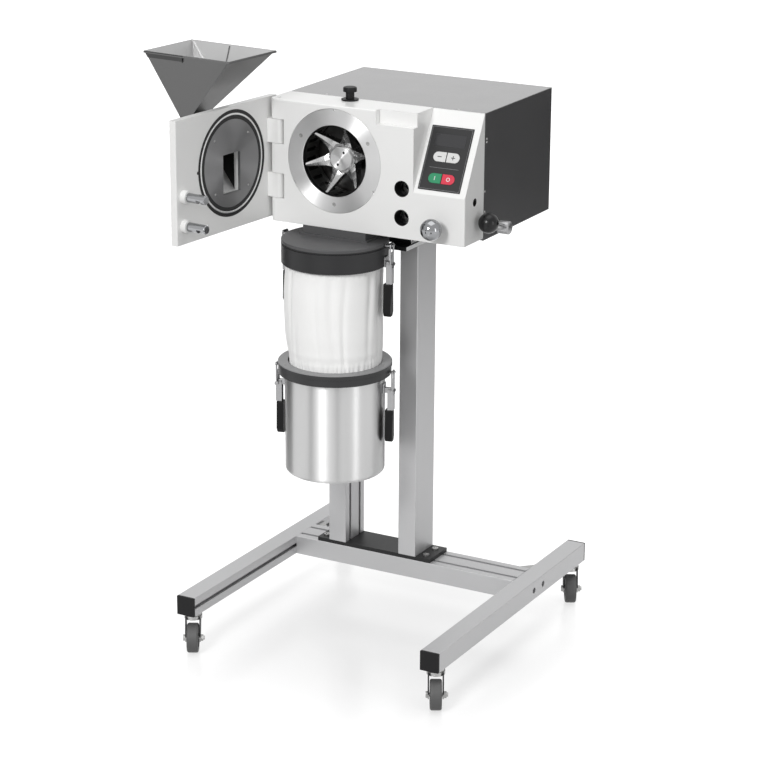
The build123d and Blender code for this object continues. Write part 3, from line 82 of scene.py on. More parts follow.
def add_node(tree: Tree, kind: str, settings: dict | None = None,
             links: dict | None = None) -> bpy.types.Node:
    """Adds one node with its settings and links.

    Args:
        tree: Node tree that gets the node.
        kind: Blender's name for the node type, after ShaderNode.
        settings: Values by attribute name, or by input name or number.
        links: Source sockets by input name or number.

    Returns:
        The new node.
    """
    node = tree.nodes.new(f"ShaderNode{kind}")
    for key, value in (settings or {}).items():
        if isinstance(key, str) and hasattr(node, key):
            setattr(node, key, value)
        else:
            node.inputs[key].default_value = value
    for key, source in (links or {}).items():
        tree.links.new(node.inputs[key], source)
    return node


def maths(tree: Tree, operation: str, *values: Socket | float | Sequence[float],
          vector: bool = False) -> Socket:
    """Works something out in a shader.

    Args:
        tree: Node tree that gets the node.
        operation: Blender's name for the operation.
        values: What it works on, sockets or constants.
        vector: Whether it works on vectors.

    Returns:
        The output with the result.
    """
    settings, links = {"operation": operation}, {}
    for k, value in enumerate(values):
        (links if isinstance(value, Socket) else settings)[k] = value
    node = add_node(tree, "VectorMath" if vector else "Math", settings, links)
    return node.outputs["Value" if not vector or operation in ("LENGTH", "DISTANCE", "DOT_PRODUCT") else 0]


def offset(tree: Tree, place: Socket, centre: Point) -> Socket:
    """Gives the vector from a point in millimetres to the shaded point."""
    return maths(tree, "SUBTRACT", place, [c * MM for c in centre], vector=True)


def mix(tree: Tree, factor: Socket, low: Socket | Sequence[float], high: Sequence[float]) -> Socket:
    """Mixes two colours.

    Args:
        tree: Node tree that gets the node.
        factor: Share of the second colour.
        low: First colour, a socket or a constant.
        high: Second colour.

    Returns:
        The mixed colour.
    """
    node = add_node(tree, "Mix", {"data_type": "RGBA", 7: high}, {"Factor": factor})
    if isinstance(low, Socket):
        tree.links.new(node.inputs[6], low)
    else:
        node.inputs[6].default_value = low
    return node.outputs[2]


def clear_tree(owner: bpy.types.Material | bpy.types.World) -> Tree:
    """Switches a material or world to nodes and empties its tree.

    Args:
        owner: Material or world.

    Returns:
        Its tree.
    """
    owner.use_nodes = True
    owner.node_tree.nodes.clear()
    return owner.node_tree


def add_object(name: str, data: bpy.types.ID) -> bpy.types.Object:
    """Makes an object of its data and puts it into the scene.

    Args:
        name: Name of the object.
        data: Its mesh, lamp or camera.

    Returns:
        The object.
    """
    item = bpy.data.objects.new(name, data)
    bpy.context.scene.collection.objects.link(item)
    return item


def mesh_object(name: str, mesh: BMesh) -> bpy.types.Object:
    """Makes an object of a mesh in metres.

    Args:
        name: Name of the object.
        mesh: Its mesh, which is freed.

    Returns:
        The object.
    """
    data = bpy.data.meshes.new(name)
    mesh.to_mesh(data)
    mesh.free()
    return add_object(name, data)


class Grain(Enum):
    """How a surface was made, and so which pattern its bump and gloss follow."""

    MOULDED = "spark-eroded mould texture"
    SPRAYED = "orange peel of a sprayed coat"
    DRAWN = "lines left along one direction by a die or belt"
    TURNED = "circular tool or brush lines about an axis"
    POLISHED = "faint hairlines only"


@dataclass(frozen=True)
class Finish:
    """One real material and how its surface was made."""

    title: str
    colour: str
    metallic: float = 0.0
    roughness: float = 0.5
    grain: Grain = Grain.MOULDED
    pitch: float = 1.0                # mm between features of the grain
    depth: float = 0.02               # mm of relief
    tone: float = 0.05                # share by which the colour drifts over a hand's width
    swing: float = 0.08               # drift of the roughness
    edge: float = 0.6                 # mm of rounding that edges catch light with
    axis: int = 2                     # 0, 1 or 2: lines run along it, or circles go round it
    centre: Point = (0.0, 0.0, 0.0)   # a point on the axis of the circles, mm
    heading: float = 0.0              # degrees that the piece is turned about the vertical through centre
    coat: float = 0.0
    anisotropic: float = 0.0
    sheen: float = 0.0
    ior: float = 1.5
    worn: str = ""                    # colour that shows on worn edges, if any

    def build(self) -> bpy.types.Material:
        """Makes the Blender material, once for each finish."""
        if self.title in bpy.data.materials:
            return bpy.data.materials[self.title]
        material = bpy.data.materials.new(self.title)
        tree = clear_tree(material)
        place = add_node(tree, "TexCoord").outputs["Object"]
        if self.heading:
            place = add_node(tree, "VectorRotate",
                             {"rotation_type": "Z_AXIS", "Center": [c * MM for c in self.centre],
                              "Angle": math.radians(-self.heading)}, {"Vector": place}).outputs[0]
        grain = self.relief(tree, place)
        cloud = add_node(tree, "TexNoise", {"Scale": 11.0, "Detail": 4.0, "Roughness": 0.6},
                         {"Vector": place}).outputs["Fac"]
        colour = self.tint(tree, place, cloud)
        rough = add_node(tree, "MapRange",
                         {"To Min": max(0.02, self.roughness - self.swing),
                          "To Max": min(1.0, self.roughness + self.swing)},
                         {"Value": add_node(tree, "Mix", {"data_type": "FLOAT", "Factor": 0.5},
                                            {2: grain, 3: cloud}).outputs[0]}).outputs["Result"]
        rounding = add_node(tree, "Bevel", {"samples": 4, "Radius": self.edge * MM}).outputs[0]
        if self.worn:
            colour = self.wear(tree, rounding, cloud, colour)
        bump = add_node(tree, "Bump", {"Strength": 1.0, "Distance": self.depth * MM},
                        {"Height": grain, "Normal": rounding}).outputs["Normal"]
        links = {"Base Color": colour, "Roughness": rough, "Normal": bump}
        settings = {"Metallic": self.metallic, "Coat Weight": self.coat, "Coat Roughness": 0.12,
                    "Sheen Weight": self.sheen}
        if not self.metallic:
            settings["IOR"] = self.ior
        if self.anisotropic:
            settings.update({"Anisotropic": self.anisotropic, "Anisotropic Rotation": 0.25})
            links["Tangent"] = self.around(tree, place)
        shader = add_node(tree, "BsdfPrincipled", settings, links)
        add_node(tree, "OutputMaterial", None, {"Surface": shader.outputs["BSDF"]})
        return material

    def tint(self, tree: Tree, place: Socket, cloud: Socket) -> Socket:
        """Gives the base colour, which drifts a little between light and dark."""
        base = linear(self.colour)
        low, high = ([min(1.0, c * (1 + s * self.tone)) for c in base[:3]] + [1.0] for s in (-1, 1))
        return mix(tree, cloud, low, high)

    def away(self, tree: Tree, place: Socket) -> Socket:
        """Gives the vector from the axis of the circles to the shaded point, square to that axis."""
        flat = [0.0 if i == self.axis else 1.0 for i in range(3)]
        return maths(tree, "MULTIPLY", offset(tree, place, self.centre), flat, vector=True)

    def around(self, tree: Tree, place: Socket) -> Socket:
        """Gives the direction of the tool lines, in world space, for the anisotropic highlight."""
        axis = [1.0 if i == self.axis else 0.0 for i in range(3)]
        if self.grain is Grain.TURNED:
            line = maths(tree, "CROSS_PRODUCT", self.away(tree, place), axis, vector=True)
        else:
            line = add_node(tree, "CombineXYZ", dict(enumerate(axis))).outputs[0]
        if self.heading:
            line = add_node(tree, "VectorRotate",
                            {"rotation_type": "Z_AXIS", "Angle": math.radians(self.heading)},
                            {"Vector": line}).outputs[0]
        return add_node(tree, "VectorTransform",
                        {"vector_type": "VECTOR", "convert_from": "OBJECT", "convert_to": "WORLD"},
                        {"Vector": line}).outputs[0]

    def relief(self, tree: Tree, place: Socket) -> Socket:
        """Gives the height of the grain, from 0 to 1."""
        per_metre = 1 / (self.pitch * MM)
        if self.grain is Grain.TURNED:
            radius = maths(tree, "LENGTH", self.away(tree, place), vector=True)
            height = add_node(tree, "SeparateXYZ", None, {0: place}).outputs[self.axis]
            return add_node(tree, "TexNoise",
                            {"noise_dimensions": "1D", "Scale": per_metre, "Detail": 3.0, "Roughness": 0.7},
                            {"W": maths(tree, "ADD", radius, height)}).outputs["Fac"]
        if self.grain is Grain.DRAWN:
            stretch = [per_metre / 60 if i == self.axis else per_metre for i in range(3)]
            return add_node(tree, "TexNoise", {"Scale": 1.0, "Detail": 3.0, "Roughness": 0.65},
                            {"Vector": maths(tree, "MULTIPLY", place, stretch, vector=True)}).outputs["Fac"]
        detail = {Grain.SPRAYED: 0.5, Grain.MOULDED: 2.0, Grain.POLISHED: 5.0}[self.grain]
        return add_node(tree, "TexNoise", {"Scale": per_metre, "Detail": detail}, {"Vector": place}).outputs[0]

    def wear(self, tree: Tree, rounding: Socket, cloud: Socket, colour: Socket) -> Socket:
        """Rubs the colour thin where an edge turns, in uneven patches."""
        true = add_node(tree, "NewGeometry").outputs["Normal"]
        turn = maths(tree, "DOT_PRODUCT", rounding, true, vector=True)
        edge = add_node(tree, "MapRange", {"From Min": 0.995, "From Max": 0.9}, {"Value": turn})
        patch = add_node(tree, "MapRange", {"From Min": 0.45, "From Max": 0.7}, {"Value": cloud})
        rubbed = maths(tree, "MULTIPLY", edge.outputs[0], patch.outputs[0])
        return mix(tree, rubbed, colour, linear(self.worn))


@dataclass(frozen=True)
class ClothFinish(Finish):
    """Woven filter cloth: a plain weave that follows the sleeve round and down, with a soft fibre sheen."""

    girth: float = 95.0               # mm, radius at which the threads have their pitch

    def relief(self, tree: Tree, place: Socket) -> Socket:
        """Gives the height of crossing threads, measured round the sleeve and along its height."""
        moved = offset(tree, place, self.centre)
        x, y, z = add_node(tree, "SeparateXYZ", None, {0: moved}).outputs
        turn = maths(tree, "ARCTAN2", y, x)
        round_turns, per_metre = round(self.girth / self.pitch), 1 / (self.pitch * MM)
        threads = [maths(tree, "SINE", maths(tree, "MULTIPLY", source, 2 * math.pi * rate))
                   for source, rate in ((turn, round_turns), (z, per_metre))]
        fuzz = add_node(tree, "TexNoise", {"Scale": 900.0, "Detail": 2.0}, {"Vector": place})
        return maths(tree, "MULTIPLY_ADD", maths(tree, "MULTIPLY", *threads), 0.35, fuzz.outputs["Fac"])


@dataclass(frozen=True)
class CastingFinish(Finish):
    """White stoved enamel outside; inside the chamber and the shaft hole the colour is near black, painted
    shade.
    """

    bore: float = 95.0                # mm, radius of the chamber that is painted dark as shade
    mouth: float = -172.5             # mm, the enamel ends behind the ring
    port: Point = (205.5, -142.6, 924.0)   # mm, hole in the side, painted dark as shade from just below the face
    port_radius: float = 8.1

    def tint(self, tree: Tree, place: Socket, cloud: Socket) -> Socket:
        """Paints enamel outside the chamber, and near-black painted shade inside it and in the side hole."""
        paint = super().tint(tree, place, cloud)
        radius = maths(tree, "LENGTH", self.away(tree, place), vector=True)
        y = add_node(tree, "SeparateXYZ", None, {0: place}).outputs[1]
        inside = maths(tree, "MULTIPLY", maths(tree, "LESS_THAN", radius, self.bore * MM),
                       maths(tree, "GREATER_THAN", y, self.mouth * MM))
        moved = offset(tree, place, self.port)
        reach = maths(tree, "LENGTH", maths(tree, "MULTIPLY", moved, (0, 1, 1), vector=True), vector=True)
        x = add_node(tree, "SeparateXYZ", None, {0: moved}).outputs[0]
        hole = maths(tree, "MULTIPLY", maths(tree, "LESS_THAN", reach, self.port_radius * MM),
                     maths(tree, "COMPARE", x, -0.01, 0.01))
        # painted shade: near black inside the chamber and in the side hole
        return mix(tree, maths(tree, "MAXIMUM", inside, hole), paint, linear("#262524"))


@dataclass(frozen=True)
class WheelFinish(Finish):
    """Grey rubber tread on a darker moulded centre."""

    tread: float = 21.5               # mm, inner radius of the rubber

    def tint(self, tree: Tree, place: Socket, cloud: Socket) -> Socket:
        """Colours the wheel by its distance from the axle."""
        rubber = super().tint(tree, place, cloud)
        axle = Vector((-math.sin(CASTER_HEADING), math.cos(CASTER_HEADING), 0.0))
        moved = maths(tree, "CROSS_PRODUCT", offset(tree, place, self.centre), axle, vector=True)
        hub = maths(tree, "LESS_THAN", maths(tree, "LENGTH", moved, vector=True), self.tread * MM)
        return mix(tree, hub, rubber, linear("#202021"))


CASTER_HEADING = math.radians(-61.3)
CHAMBER = (-79.5, -150.0, 980.0)
COLLECTOR = (-80.0, -180.0, 0.0)

# Anodised aluminium profile, extruded and satin etched: a soft broad highlight with lines along the bar.
PROFILE_X = Finish("anodised aluminium, drawn along x", "#C2C2C3", 0.6, 0.46, Grain.DRAWN, 1.2, 0.006, 0.03,
                   0.05, 0.8, axis=0)
PROFILE_Y = replace(PROFILE_X, title="anodised aluminium, drawn along y", axis=1)
PROFILE_Z = replace(PROFILE_X, title="anodised aluminium, drawn along z", axis=2)
# Painted highlight: the head console's faces that look to +X get a pale, matt colour.
CONSOLE_HIGHLIGHT = replace(PROFILE_Y, title="sawn aluminium plate edge", colour="#F0F0F0", metallic=0.2)
# Zinc plate on pressed steel: bright, slightly yellow-white, with cloudy gloss.
ZINC = Finish("zinc plated pressed steel", "#A9A9A8", 1.0, 0.34, Grain.POLISHED, 4.0, 0.01, 0.08, 0.1, 0.4)
WIRE_ZINC = replace(ZINC, title="zinc plated strap and wire", colour="#9A9A9B", roughness=0.36)
# Powder coat baked on steel: fine orange peel, and a little grey where edges are handled.
BLACK_COAT = Finish("black powder coat on steel", "#1A1A1B", 0.0, 0.45, Grain.SPRAYED, 1.6, 0.03, 0.1,
                    0.08, 0.8, ior=1.4, worn="#4A4A4A")
COVER_COAT = Finish("dark grey powder coat on sheet steel", "#434344", 0.0, 0.34, Grain.SPRAYED, 1.4, 0.02,
                    0.04, 0.06, 0.8, coat=0.8, ior=1.7, worn="#7A7A7A")
# Stoved enamel on a machined casting: smooth, half gloss, with a faint orange peel.
ENAMEL = CastingFinish("white stoved enamel on the casting", "#E9E9E8", 0.0, 0.3, Grain.SPRAYED, 2.4, 0.02,
                       0.015, 0.05, 1.4, axis=1, centre=CHAMBER, coat=0.15)
DOOR_ENAMEL = Finish("white stoved enamel on the door", "#E6E6E5", 0.0, 0.32, Grain.SPRAYED, 2.4, 0.02,
                     0.015, 0.05, 1.2, coat=0.15)
# Stainless steel faced on a lathe: circular lines that throw bright radial fans.
TURNED_STEEL = Finish("face-turned stainless steel", "#D4D4D4", 1.0, 0.34, Grain.TURNED, 0.7, 0.006, 0.03,
                      0.05, 0.5, axis=1, centre=CHAMBER, anisotropic=0.95)
CAP_STEEL = replace(TURNED_STEEL, title="turned stainless nose cap", roughness=0.33)
DISC_STEEL = Finish("turned and darkened door disc", "#838384", 1.0, 0.38, Grain.TURNED, 0.9, 0.008, 0.04,
                    0.06, 0.4, axis=0, anisotropic=0.9)
# Investment-cast and ground stainless: soft, slightly uneven shine on the blades.
GROUND_STEEL = Finish("ground stainless rotor steel", "#A6A6A6", 1.0, 0.26, Grain.POLISHED, 3.0, 0.03, 0.05,
                      0.08, 0.9)
SIEVE_STEEL = Finish("heat-tinted sieve steel", "#6B6B6A", 1.0, 0.4, Grain.TURNED, 0.8, 0.01, 0.08, 0.08,
                     0.3, axis=1, centre=CHAMBER)
# Sheet ground with a belt before folding: fine vertical hairlines, no mirror image.
SHEET_STEEL = Finish("belt-ground stainless sheet", "#6A6A6A", 1.0, 0.46, Grain.DRAWN, 0.9, 0.008, 0.04,
                     0.06, 0.5, axis=2)
# Painted light: a lighter copy of the sheet for the hopper's inside and the chute's floor, where light falls;
# the outside keeps the darker colour above.
LIT_SHEET = replace(SHEET_STEEL, title="stainless sheet painted lighter as light", colour="#B4B4B4",
                      roughness=0.5)
# Painted shade: a dark copy of the sheet for the chute's walls.
SHADED_SHEET = replace(SHEET_STEEL, title="sheet painted dark as shade", colour="#2A2A2A", roughness=0.55)
# Painted highlight: a pale copy of the sheet for the strip along the hopper's folded corner and for the bead
# between the door's seals.
HIGHLIGHT_SHEET = replace(SHEET_STEEL, title="stainless sheet painted pale as highlight", colour="#E2E2E2", roughness=0.3)
# Painted shade: a darker copy of the sheet for the hem on the hopper's near wall.
HEM_SHADE_SHEET = replace(SHEET_STEEL, title="hemmed rim of the stainless sheet", colour="#4C4C4C")
# Spun pot, brushed while turning: highlights stretch into upright bands.
SPUN_STEEL = Finish("circular brushed stainless pot", "#C6C6C6", 1.0, 0.41, Grain.TURNED, 0.8, 0.008, 0.03,
                    0.05, 0.6, axis=2, centre=COLLECTOR, anisotropic=0.92)
# Chrome plate: thick and bright. The knob's copy is painted darker, standing in for the room's dark
# reflections.
CHROME = Finish("polished chrome plate", "#D4D5D7", 1.0, 0.08, Grain.POLISHED, 6.0, 0.003, 0.02, 0.03, 0.5)
KNOB_CHROME_PAINTED_DARK = replace(CHROME, title="chrome plated knob", colour="#8E8F91", roughness=0.12)
CHROME_PIN = Finish("hard chromed bolt", "#9C9D9F", 1.0, 0.14, Grain.TURNED, 0.6, 0.004, 0.03, 0.04, 0.4,
                    axis=0)
# Painted shade: steel coloured dark where it lies in shade or shows dark reflections: fork legs, spanner
# holes, the wall of the ring and the hopper's notch.
SHADE_PAINTED_STEEL = Finish("steel painted dark as shade", "#3C3C3D", 1.0, 0.42, Grain.POLISHED, 3.0, 0.02, 0.08, 0.1, 0.4)
# Glass-filled nylon from an eroded mould: dark grey, matt, pale along handled edges. The rings are turned.
NYLON = Finish("moulded black nylon", "#151516", 0.0, 0.46, Grain.MOULDED, 0.7, 0.03, 0.08, 0.08, 0.7,
               ior=1.3, worn="#3C3C3C")
RING_NYLON = replace(NYLON, title="turned black nylon rings", colour="#2F2F30", grain=Grain.TURNED, pitch=0.9,
                     depth=0.012, axis=2, centre=COLLECTOR, roughness=0.4)
LOWER_RING = replace(RING_NYLON, title="turned black nylon lower ring", colour="#3B3B3C")
# Painted reflection: the lower ring's upward faces are a lighter grey than its sides.
RING_TOP_HIGHLIGHT = replace(RING_NYLON, title="faced top of the lower ring", colour="#8E8E8F", roughness=0.36)
LID_NYLON = replace(RING_NYLON, title="turned black nylon lid", colour="#545455", roughness=0.42)
# Grey rubber on a darker moulded centre.
WHEEL = WheelFinish("grey rubber wheel", "#565656", 0.0, 0.55, Grain.MOULDED, 1.0, 0.05, 0.08, 0.08, 0.8)
BALL_BAKELITE = Finish("polished black phenolic", "#0B0B0C", 0.0, 0.26, Grain.POLISHED, 8.0, 0.004, 0.05,
                       0.04, 0.5, ior=1.38)
GRIP_RUBBER = Finish("dipped black vinyl grip", "#09090A", 0.0, 0.46, Grain.SPRAYED, 2.0, 0.03, 0.08, 0.08,
                     0.8, ior=1.28)
SEAL = Finish("moulded black silicone", "#121213", 0.0, 0.5, Grain.MOULDED, 0.8, 0.02, 0.06, 0.06, 0.4,
              ior=1.4)
CLOTH = ClothFinish("woven polyester filter cloth", "#F8F8F7", 0.0, 0.85, pitch=1.3, depth=0.06, tone=0.01,
                    swing=0.05, edge=0.3, centre=COLLECTOR, sheen=0.6)
# Control face: printed film over embossed keys, with an acrylic window.
FILM = Finish("screen printed polyester film", "#1F1F20", 0.0, 0.32, Grain.MOULDED, 0.5, 0.008, 0.04, 0.05,
              0.3, ior=1.45)
WINDOW = Finish("smoked acrylic window", "#2E2E30", 0.0, 0.14, Grain.POLISHED, 9.0, 0.002, 0.03, 0.03, 0.2)
INK = Finish("white screen ink", "#DADADA", 0.0, 0.5, Grain.MOULDED, 0.5, 0.004, 0.02, 0.05, 0.1)
LINE_INK = replace(INK, title="grey screen ink", colour="#8A8A8C")
DARK_INK = replace(INK, title="dark screen ink", colour="#3A3A3B")
GREEN_KEY = Finish("green embossed key film", "#0A8256", 0.0, 0.35, Grain.MOULDED, 0.5, 0.01, 0.04, 0.06, 0.4,
                   coat=0.25)
RED_KEY = replace(GREEN_KEY, title="red embossed key film", colour="#CC2440")
WHITE_KEY = replace(GREEN_KEY, title="white embossed key film", colour="#CFCFCE")
# Drive and electronics behind the cover.
MOTOR_PAINT = Finish("machine enamel on the motor", "#50565B", 0.0, 0.4, Grain.SPRAYED, 2.0, 0.04, 0.08,
                     0.08, 0.8)
BELT = Finish("neoprene drive belt", "#1A1A1A", 0.0, 0.6, Grain.DRAWN, 1.5, 0.05, 0.08, 0.08, 0.4, axis=1)
BOARD = Finish("soldermask on glass laminate", "#1E5B34", 0.0, 0.3, Grain.SPRAYED, 1.2, 0.01, 0.08, 0.05, 0.2)


def paint(**finishes: Finish) -> None:
    """Gives CAD nodes their finishes, with the shading left as the model came.

    Args:
        finishes: Finish of each node, by the node's name.
    """
    for node, finish in finishes.items():
        piece = frame["nodes"][node]
        if not piece.material_slots:
            piece.data.materials.append(None)
        for slot in piece.material_slots:
            slot.link, slot.material = "OBJECT", finish.build()


def body_of(node: str) -> str:
    """Finds the body that a CAD node belongs to."""
    bodies = frame["record"]["behaviour"]["bodies"]
    return next(body for body, nodes in bodies.items() if node in nodes)


def piece_from(name: str, mesh: BMesh, finish: Finish, like: str, smooth: float = 35.0) -> bpy.types.Object:
    """Turns a finished bmesh, in millimetres, into a piece that rides on a body.

    Args:
        name: Name of the new piece.
        mesh: Its mesh, which is freed.
        finish: Finish it gets.
        like: CAD node whose body it moves with.
        smooth: Angle in degrees up to which edges are shaded smooth.

    Returns:
        The new piece.
    """
    bmesh.ops.recalc_face_normals(mesh, faces=mesh.faces)
    mesh.transform(Matrix.Scale(MM, 4))
    for face in mesh.faces:
        face.smooth = True
    for edge in mesh.edges:
        if len(edge.link_faces) == 2 and edge.calc_face_angle(0.0) > math.radians(smooth):
            edge.smooth = False
    piece = mesh_object(name, mesh)
    piece.data.materials.append(finish.build())
    body = body_of(like)
    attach(piece, body)
    LOG.info("%s: %d faces on %s", name, len(piece.data.polygons), body)
    return piece


def turn_profile(mesh: BMesh, profile: Iterable[Pair], place: Matrix,
                 steps: int, closed: bool = False) -> None:
    """Turns a profile of (radius, height) pairs round its local Z axis and adds it to a mesh.

    Args:
        mesh: Mesh that gets the solid.
        profile: Pairs from the bottom to the top; a radius of 0 closes an end.
        place: Matrix that puts the turned solid in the CAD frame.
        steps: Faces round the axis.
        closed: Whether the profile runs back to its first pair, as for a ring.
    """
    rings = []
    for radius, height in profile:
        if radius == 0:
            rings.append([mesh.verts.new(place @ Vector((0, 0, height)))])
            continue
        rings.append([mesh.verts.new(place @ Vector((radius * math.cos(a), radius * math.sin(a), height)))
                      for a in (2 * math.pi * k / steps for k in range(steps))])
    for low, high in zip(rings, rings[1:] + rings[:1] if closed else rings[1:]):
        for k in range(steps):
            n = k + 1
            corners = [low[k % len(low)], low[n % len(low)], high[n % len(high)], high[k % len(high)]]
            mesh.faces.new(list(dict.fromkeys(corners)))


def aim(start: Sequence[float], direction: Sequence[float]) -> Matrix:
    """Gives the matrix that puts local Z along a direction, at a point in millimetres."""
    return Matrix.Translation(start) @ Vector(direction).to_track_quat("Z", "Y").to_matrix().to_4x4()


def screw(mesh: BMesh, start: Sequence[float], direction: Sequence[float], radius: float,
          height: float, socket: bool = True) -> None:
    """Adds a small rounded screw head with a six-sided socket, or a plain rivet head.

    Args:
        mesh: Mesh that gets the head.
        start: Centre of its seat.
        direction: The way the head stands out.
        radius: Radius of the head.
        height: Height of the head.
        socket: Whether it has a socket for a key.
    """
    place = aim(start, direction)
    rim = [(0, 0), (radius, 0), (radius, height * 0.45), (radius * 0.86, height * 0.85)]
    if not socket:
        turn_profile(mesh, rim + [(radius * 0.45, height), (0, height)], place, 20)
        return
    turn_profile(mesh, rim + [(radius * 0.62, height), (radius * 0.5, height), (radius * 0.46, height * 0.35),
                              (0, height * 0.3)], place, 24)


def recast(node: str, finishes: Sequence[Finish], pick: Callable[[Vector, Vector], int],
           smooth: float = 35.0) -> bpy.types.Object:
    """Takes over a CAD node that joins several materials: the same shape, finished face by face.

    Args:
        node: Name of the CAD node.
        finishes: Finishes that it holds.
        pick: Gives the finish's number from a face's middle, in millimetres, and its normal.
        smooth: Angle in degrees up to which edges are shaded smooth.

    Returns:
        The piece that stands for the node.
    """
    mesh = bmesh.new()
    mesh.from_mesh(frame["nodes"][node].data)
    bmesh.ops.remove_doubles(mesh, verts=mesh.verts, dist=2e-6)
    mesh.transform(Matrix.Scale(1 / MM, 4))
    mesh.normal_update()
    for face in mesh.faces:
        face.material_index = pick(face.calc_center_median(), face.normal)
    piece = piece_from(f"{node}_dressed", mesh, finishes[0], node, smooth)
    for finish in finishes[1:]:
        piece.data.materials.append(finish.build())
    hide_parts(node)
    return piece


def ribbon(mesh: BMesh, outline: Sequence[Sequence[float]], thickness: Vector) -> None:
    """Adds a thin plate with a given outline and thickness vector to a mesh.

    Args:
        mesh: Mesh that gets the plate.
        outline: Corners in order.
        thickness: Vector from its lower to its upper face.
    """
    low = [mesh.verts.new(Vector(p)) for p in outline]
    high = [mesh.verts.new(Vector(p) + thickness) for p in outline]
    mesh.faces.new(low[::-1])
    mesh.faces.new(high)
    for k in range(len(low)):
        n = (k + 1) % len(low)
        mesh.faces.new([low[k], low[n], high[n], high[k]])


@dataclass
class Stand:
    """Aluminium frame, base plate and console, and the casters under it."""

    leg_z: Pair = (37.0, 66.0)         # fork legs above the axle, below the crown, painted dark as shade

    def build(self) -> None:
        """Dresses the stand's own nodes and its casters."""
        paint(foot_beams=PROFILE_Y, crossbar=PROFILE_X, posts=PROFILE_Z, foot_end_caps=NYLON,
              base_plate=BLACK_COAT, stand_fittings=ZINC)
        # painted highlight: the console's faces that look to +X are pale
        recast("head_console", (BLACK_COAT, CONSOLE_HIGHLIGHT), lambda spot, normal: int(normal.x > 0.9))
        self.dress_casters()

    def dress_casters(self) -> None:
        """Gives each caster its fork with legs painted dark as shade, and its wheel, whose tread is told from
        the hub.
        """
        for node in frame["nodes"]:
            if node.startswith("caster_fork_"):
                recast(node, (ZINC, SHADE_PAINTED_STEEL),
                       lambda spot, _: int(self.leg_z[0] < spot.z < self.leg_z[1]))
            if node.startswith("caster_wheel_"):
                low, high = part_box(node)
                middle = tuple((low + high) / 2 / MM)
                title = WHEEL.title + node.replace("caster_wheel_", " ")
                paint(**{node: replace(WHEEL, title=title, centre=middle)})


@dataclass
class Housing:
    """White casting with its dark sheet cover, the rivets in the cover's side and the parts inside."""

    side: float = 206.0
    rivets: tuple[Pair, ...] = (
        (-96.0, 1039.0), (-96.0, 1033.0), (-101.0, 937.0), (-100.0, 897.0))   # y and z
    rivet_radius: float = 2.2
    rivet_height: float = 1.3

    def build(self) -> None:
        """Dresses the housing, the drive inside it and its small hardware."""
        paint(front_casting=ENAMEL, cover=COVER_COAT, chassis=COVER_COAT, power_inlet=NYLON,
              mill_hardware=ZINC, control_board=BOARD, main_shaft=ZINC, main_bearings=CHROME,
              motor=MOTOR_PAINT, motor_pulley=ZINC, belt=BELT, lock_slide=ZINC, black_bushes=NYLON,
              plunger_knob=NYLON, release_knob=KNOB_CHROME_PAINTED_DARK)
        heads = bmesh.new()
        for y, z in self.rivets:
            screw(heads, (self.side - 0.1, y, z), (1, 0, 0), self.rivet_radius, self.rivet_height, False)
        piece_from("cover_side_rivets", heads, ZINC, "mill_hardware")


@dataclass
class Chamber:
    """Grinding chamber: faced ring, slotted sieve and the rotor with its cap."""

    bore: float = 70.9
    hole_circle: float = 14.0
    hole_radius: float = 2.8
    hole_angle: float = 62.0

    def build(self) -> None:
        """Dresses the chamber's steel, with the ring's bore and the cap's spanner holes painted dark as shade.
        """
        paint(ring_sieve=SIEVE_STEEL, rotor=GROUND_STEEL)
        recast("chamber_ring", (TURNED_STEEL, SHADE_PAINTED_STEEL),
               lambda spot, normal: int(abs(normal.y) < 0.5 and self.reach(spot) < self.bore))
        recast("rotor_cap", (CAP_STEEL, SHADE_PAINTED_STEEL), lambda spot, _: int(self.in_hole(spot)), 40.0)

    @staticmethod
    def reach(spot: Vector) -> float:
        """Gives the distance from the chamber's axis."""
        return math.hypot(spot.x - CHAMBER[0], spot.z - CHAMBER[2])

    def in_hole(self, spot: Vector) -> bool:
        """Tells whether a point lies in one of the cap's two spanner holes."""
        a = math.radians(self.hole_angle)
        x, z = self.hole_circle * math.cos(a), self.hole_circle * math.sin(a)
        return min(math.hypot(spot.x - CHAMBER[0] - side * x, spot.z - CHAMBER[2] - side * z)
                   for side in (-1, 1)) < self.hole_radius


@dataclass
class Lever:
    """Steel lock lever with its polished ball."""

    ball: Point = (230.0, -130.0, 884.0)
    ball_radius: float = 20.0

    def build(self) -> None:
        """Splits the lever's node into turned steel and black ball."""
        middle = Vector(self.ball)
        recast("lock_lever", (WIRE_ZINC, BALL_BAKELITE),
               lambda spot, _: int((spot - middle).length < self.ball_radius + 0.6), 50.0)


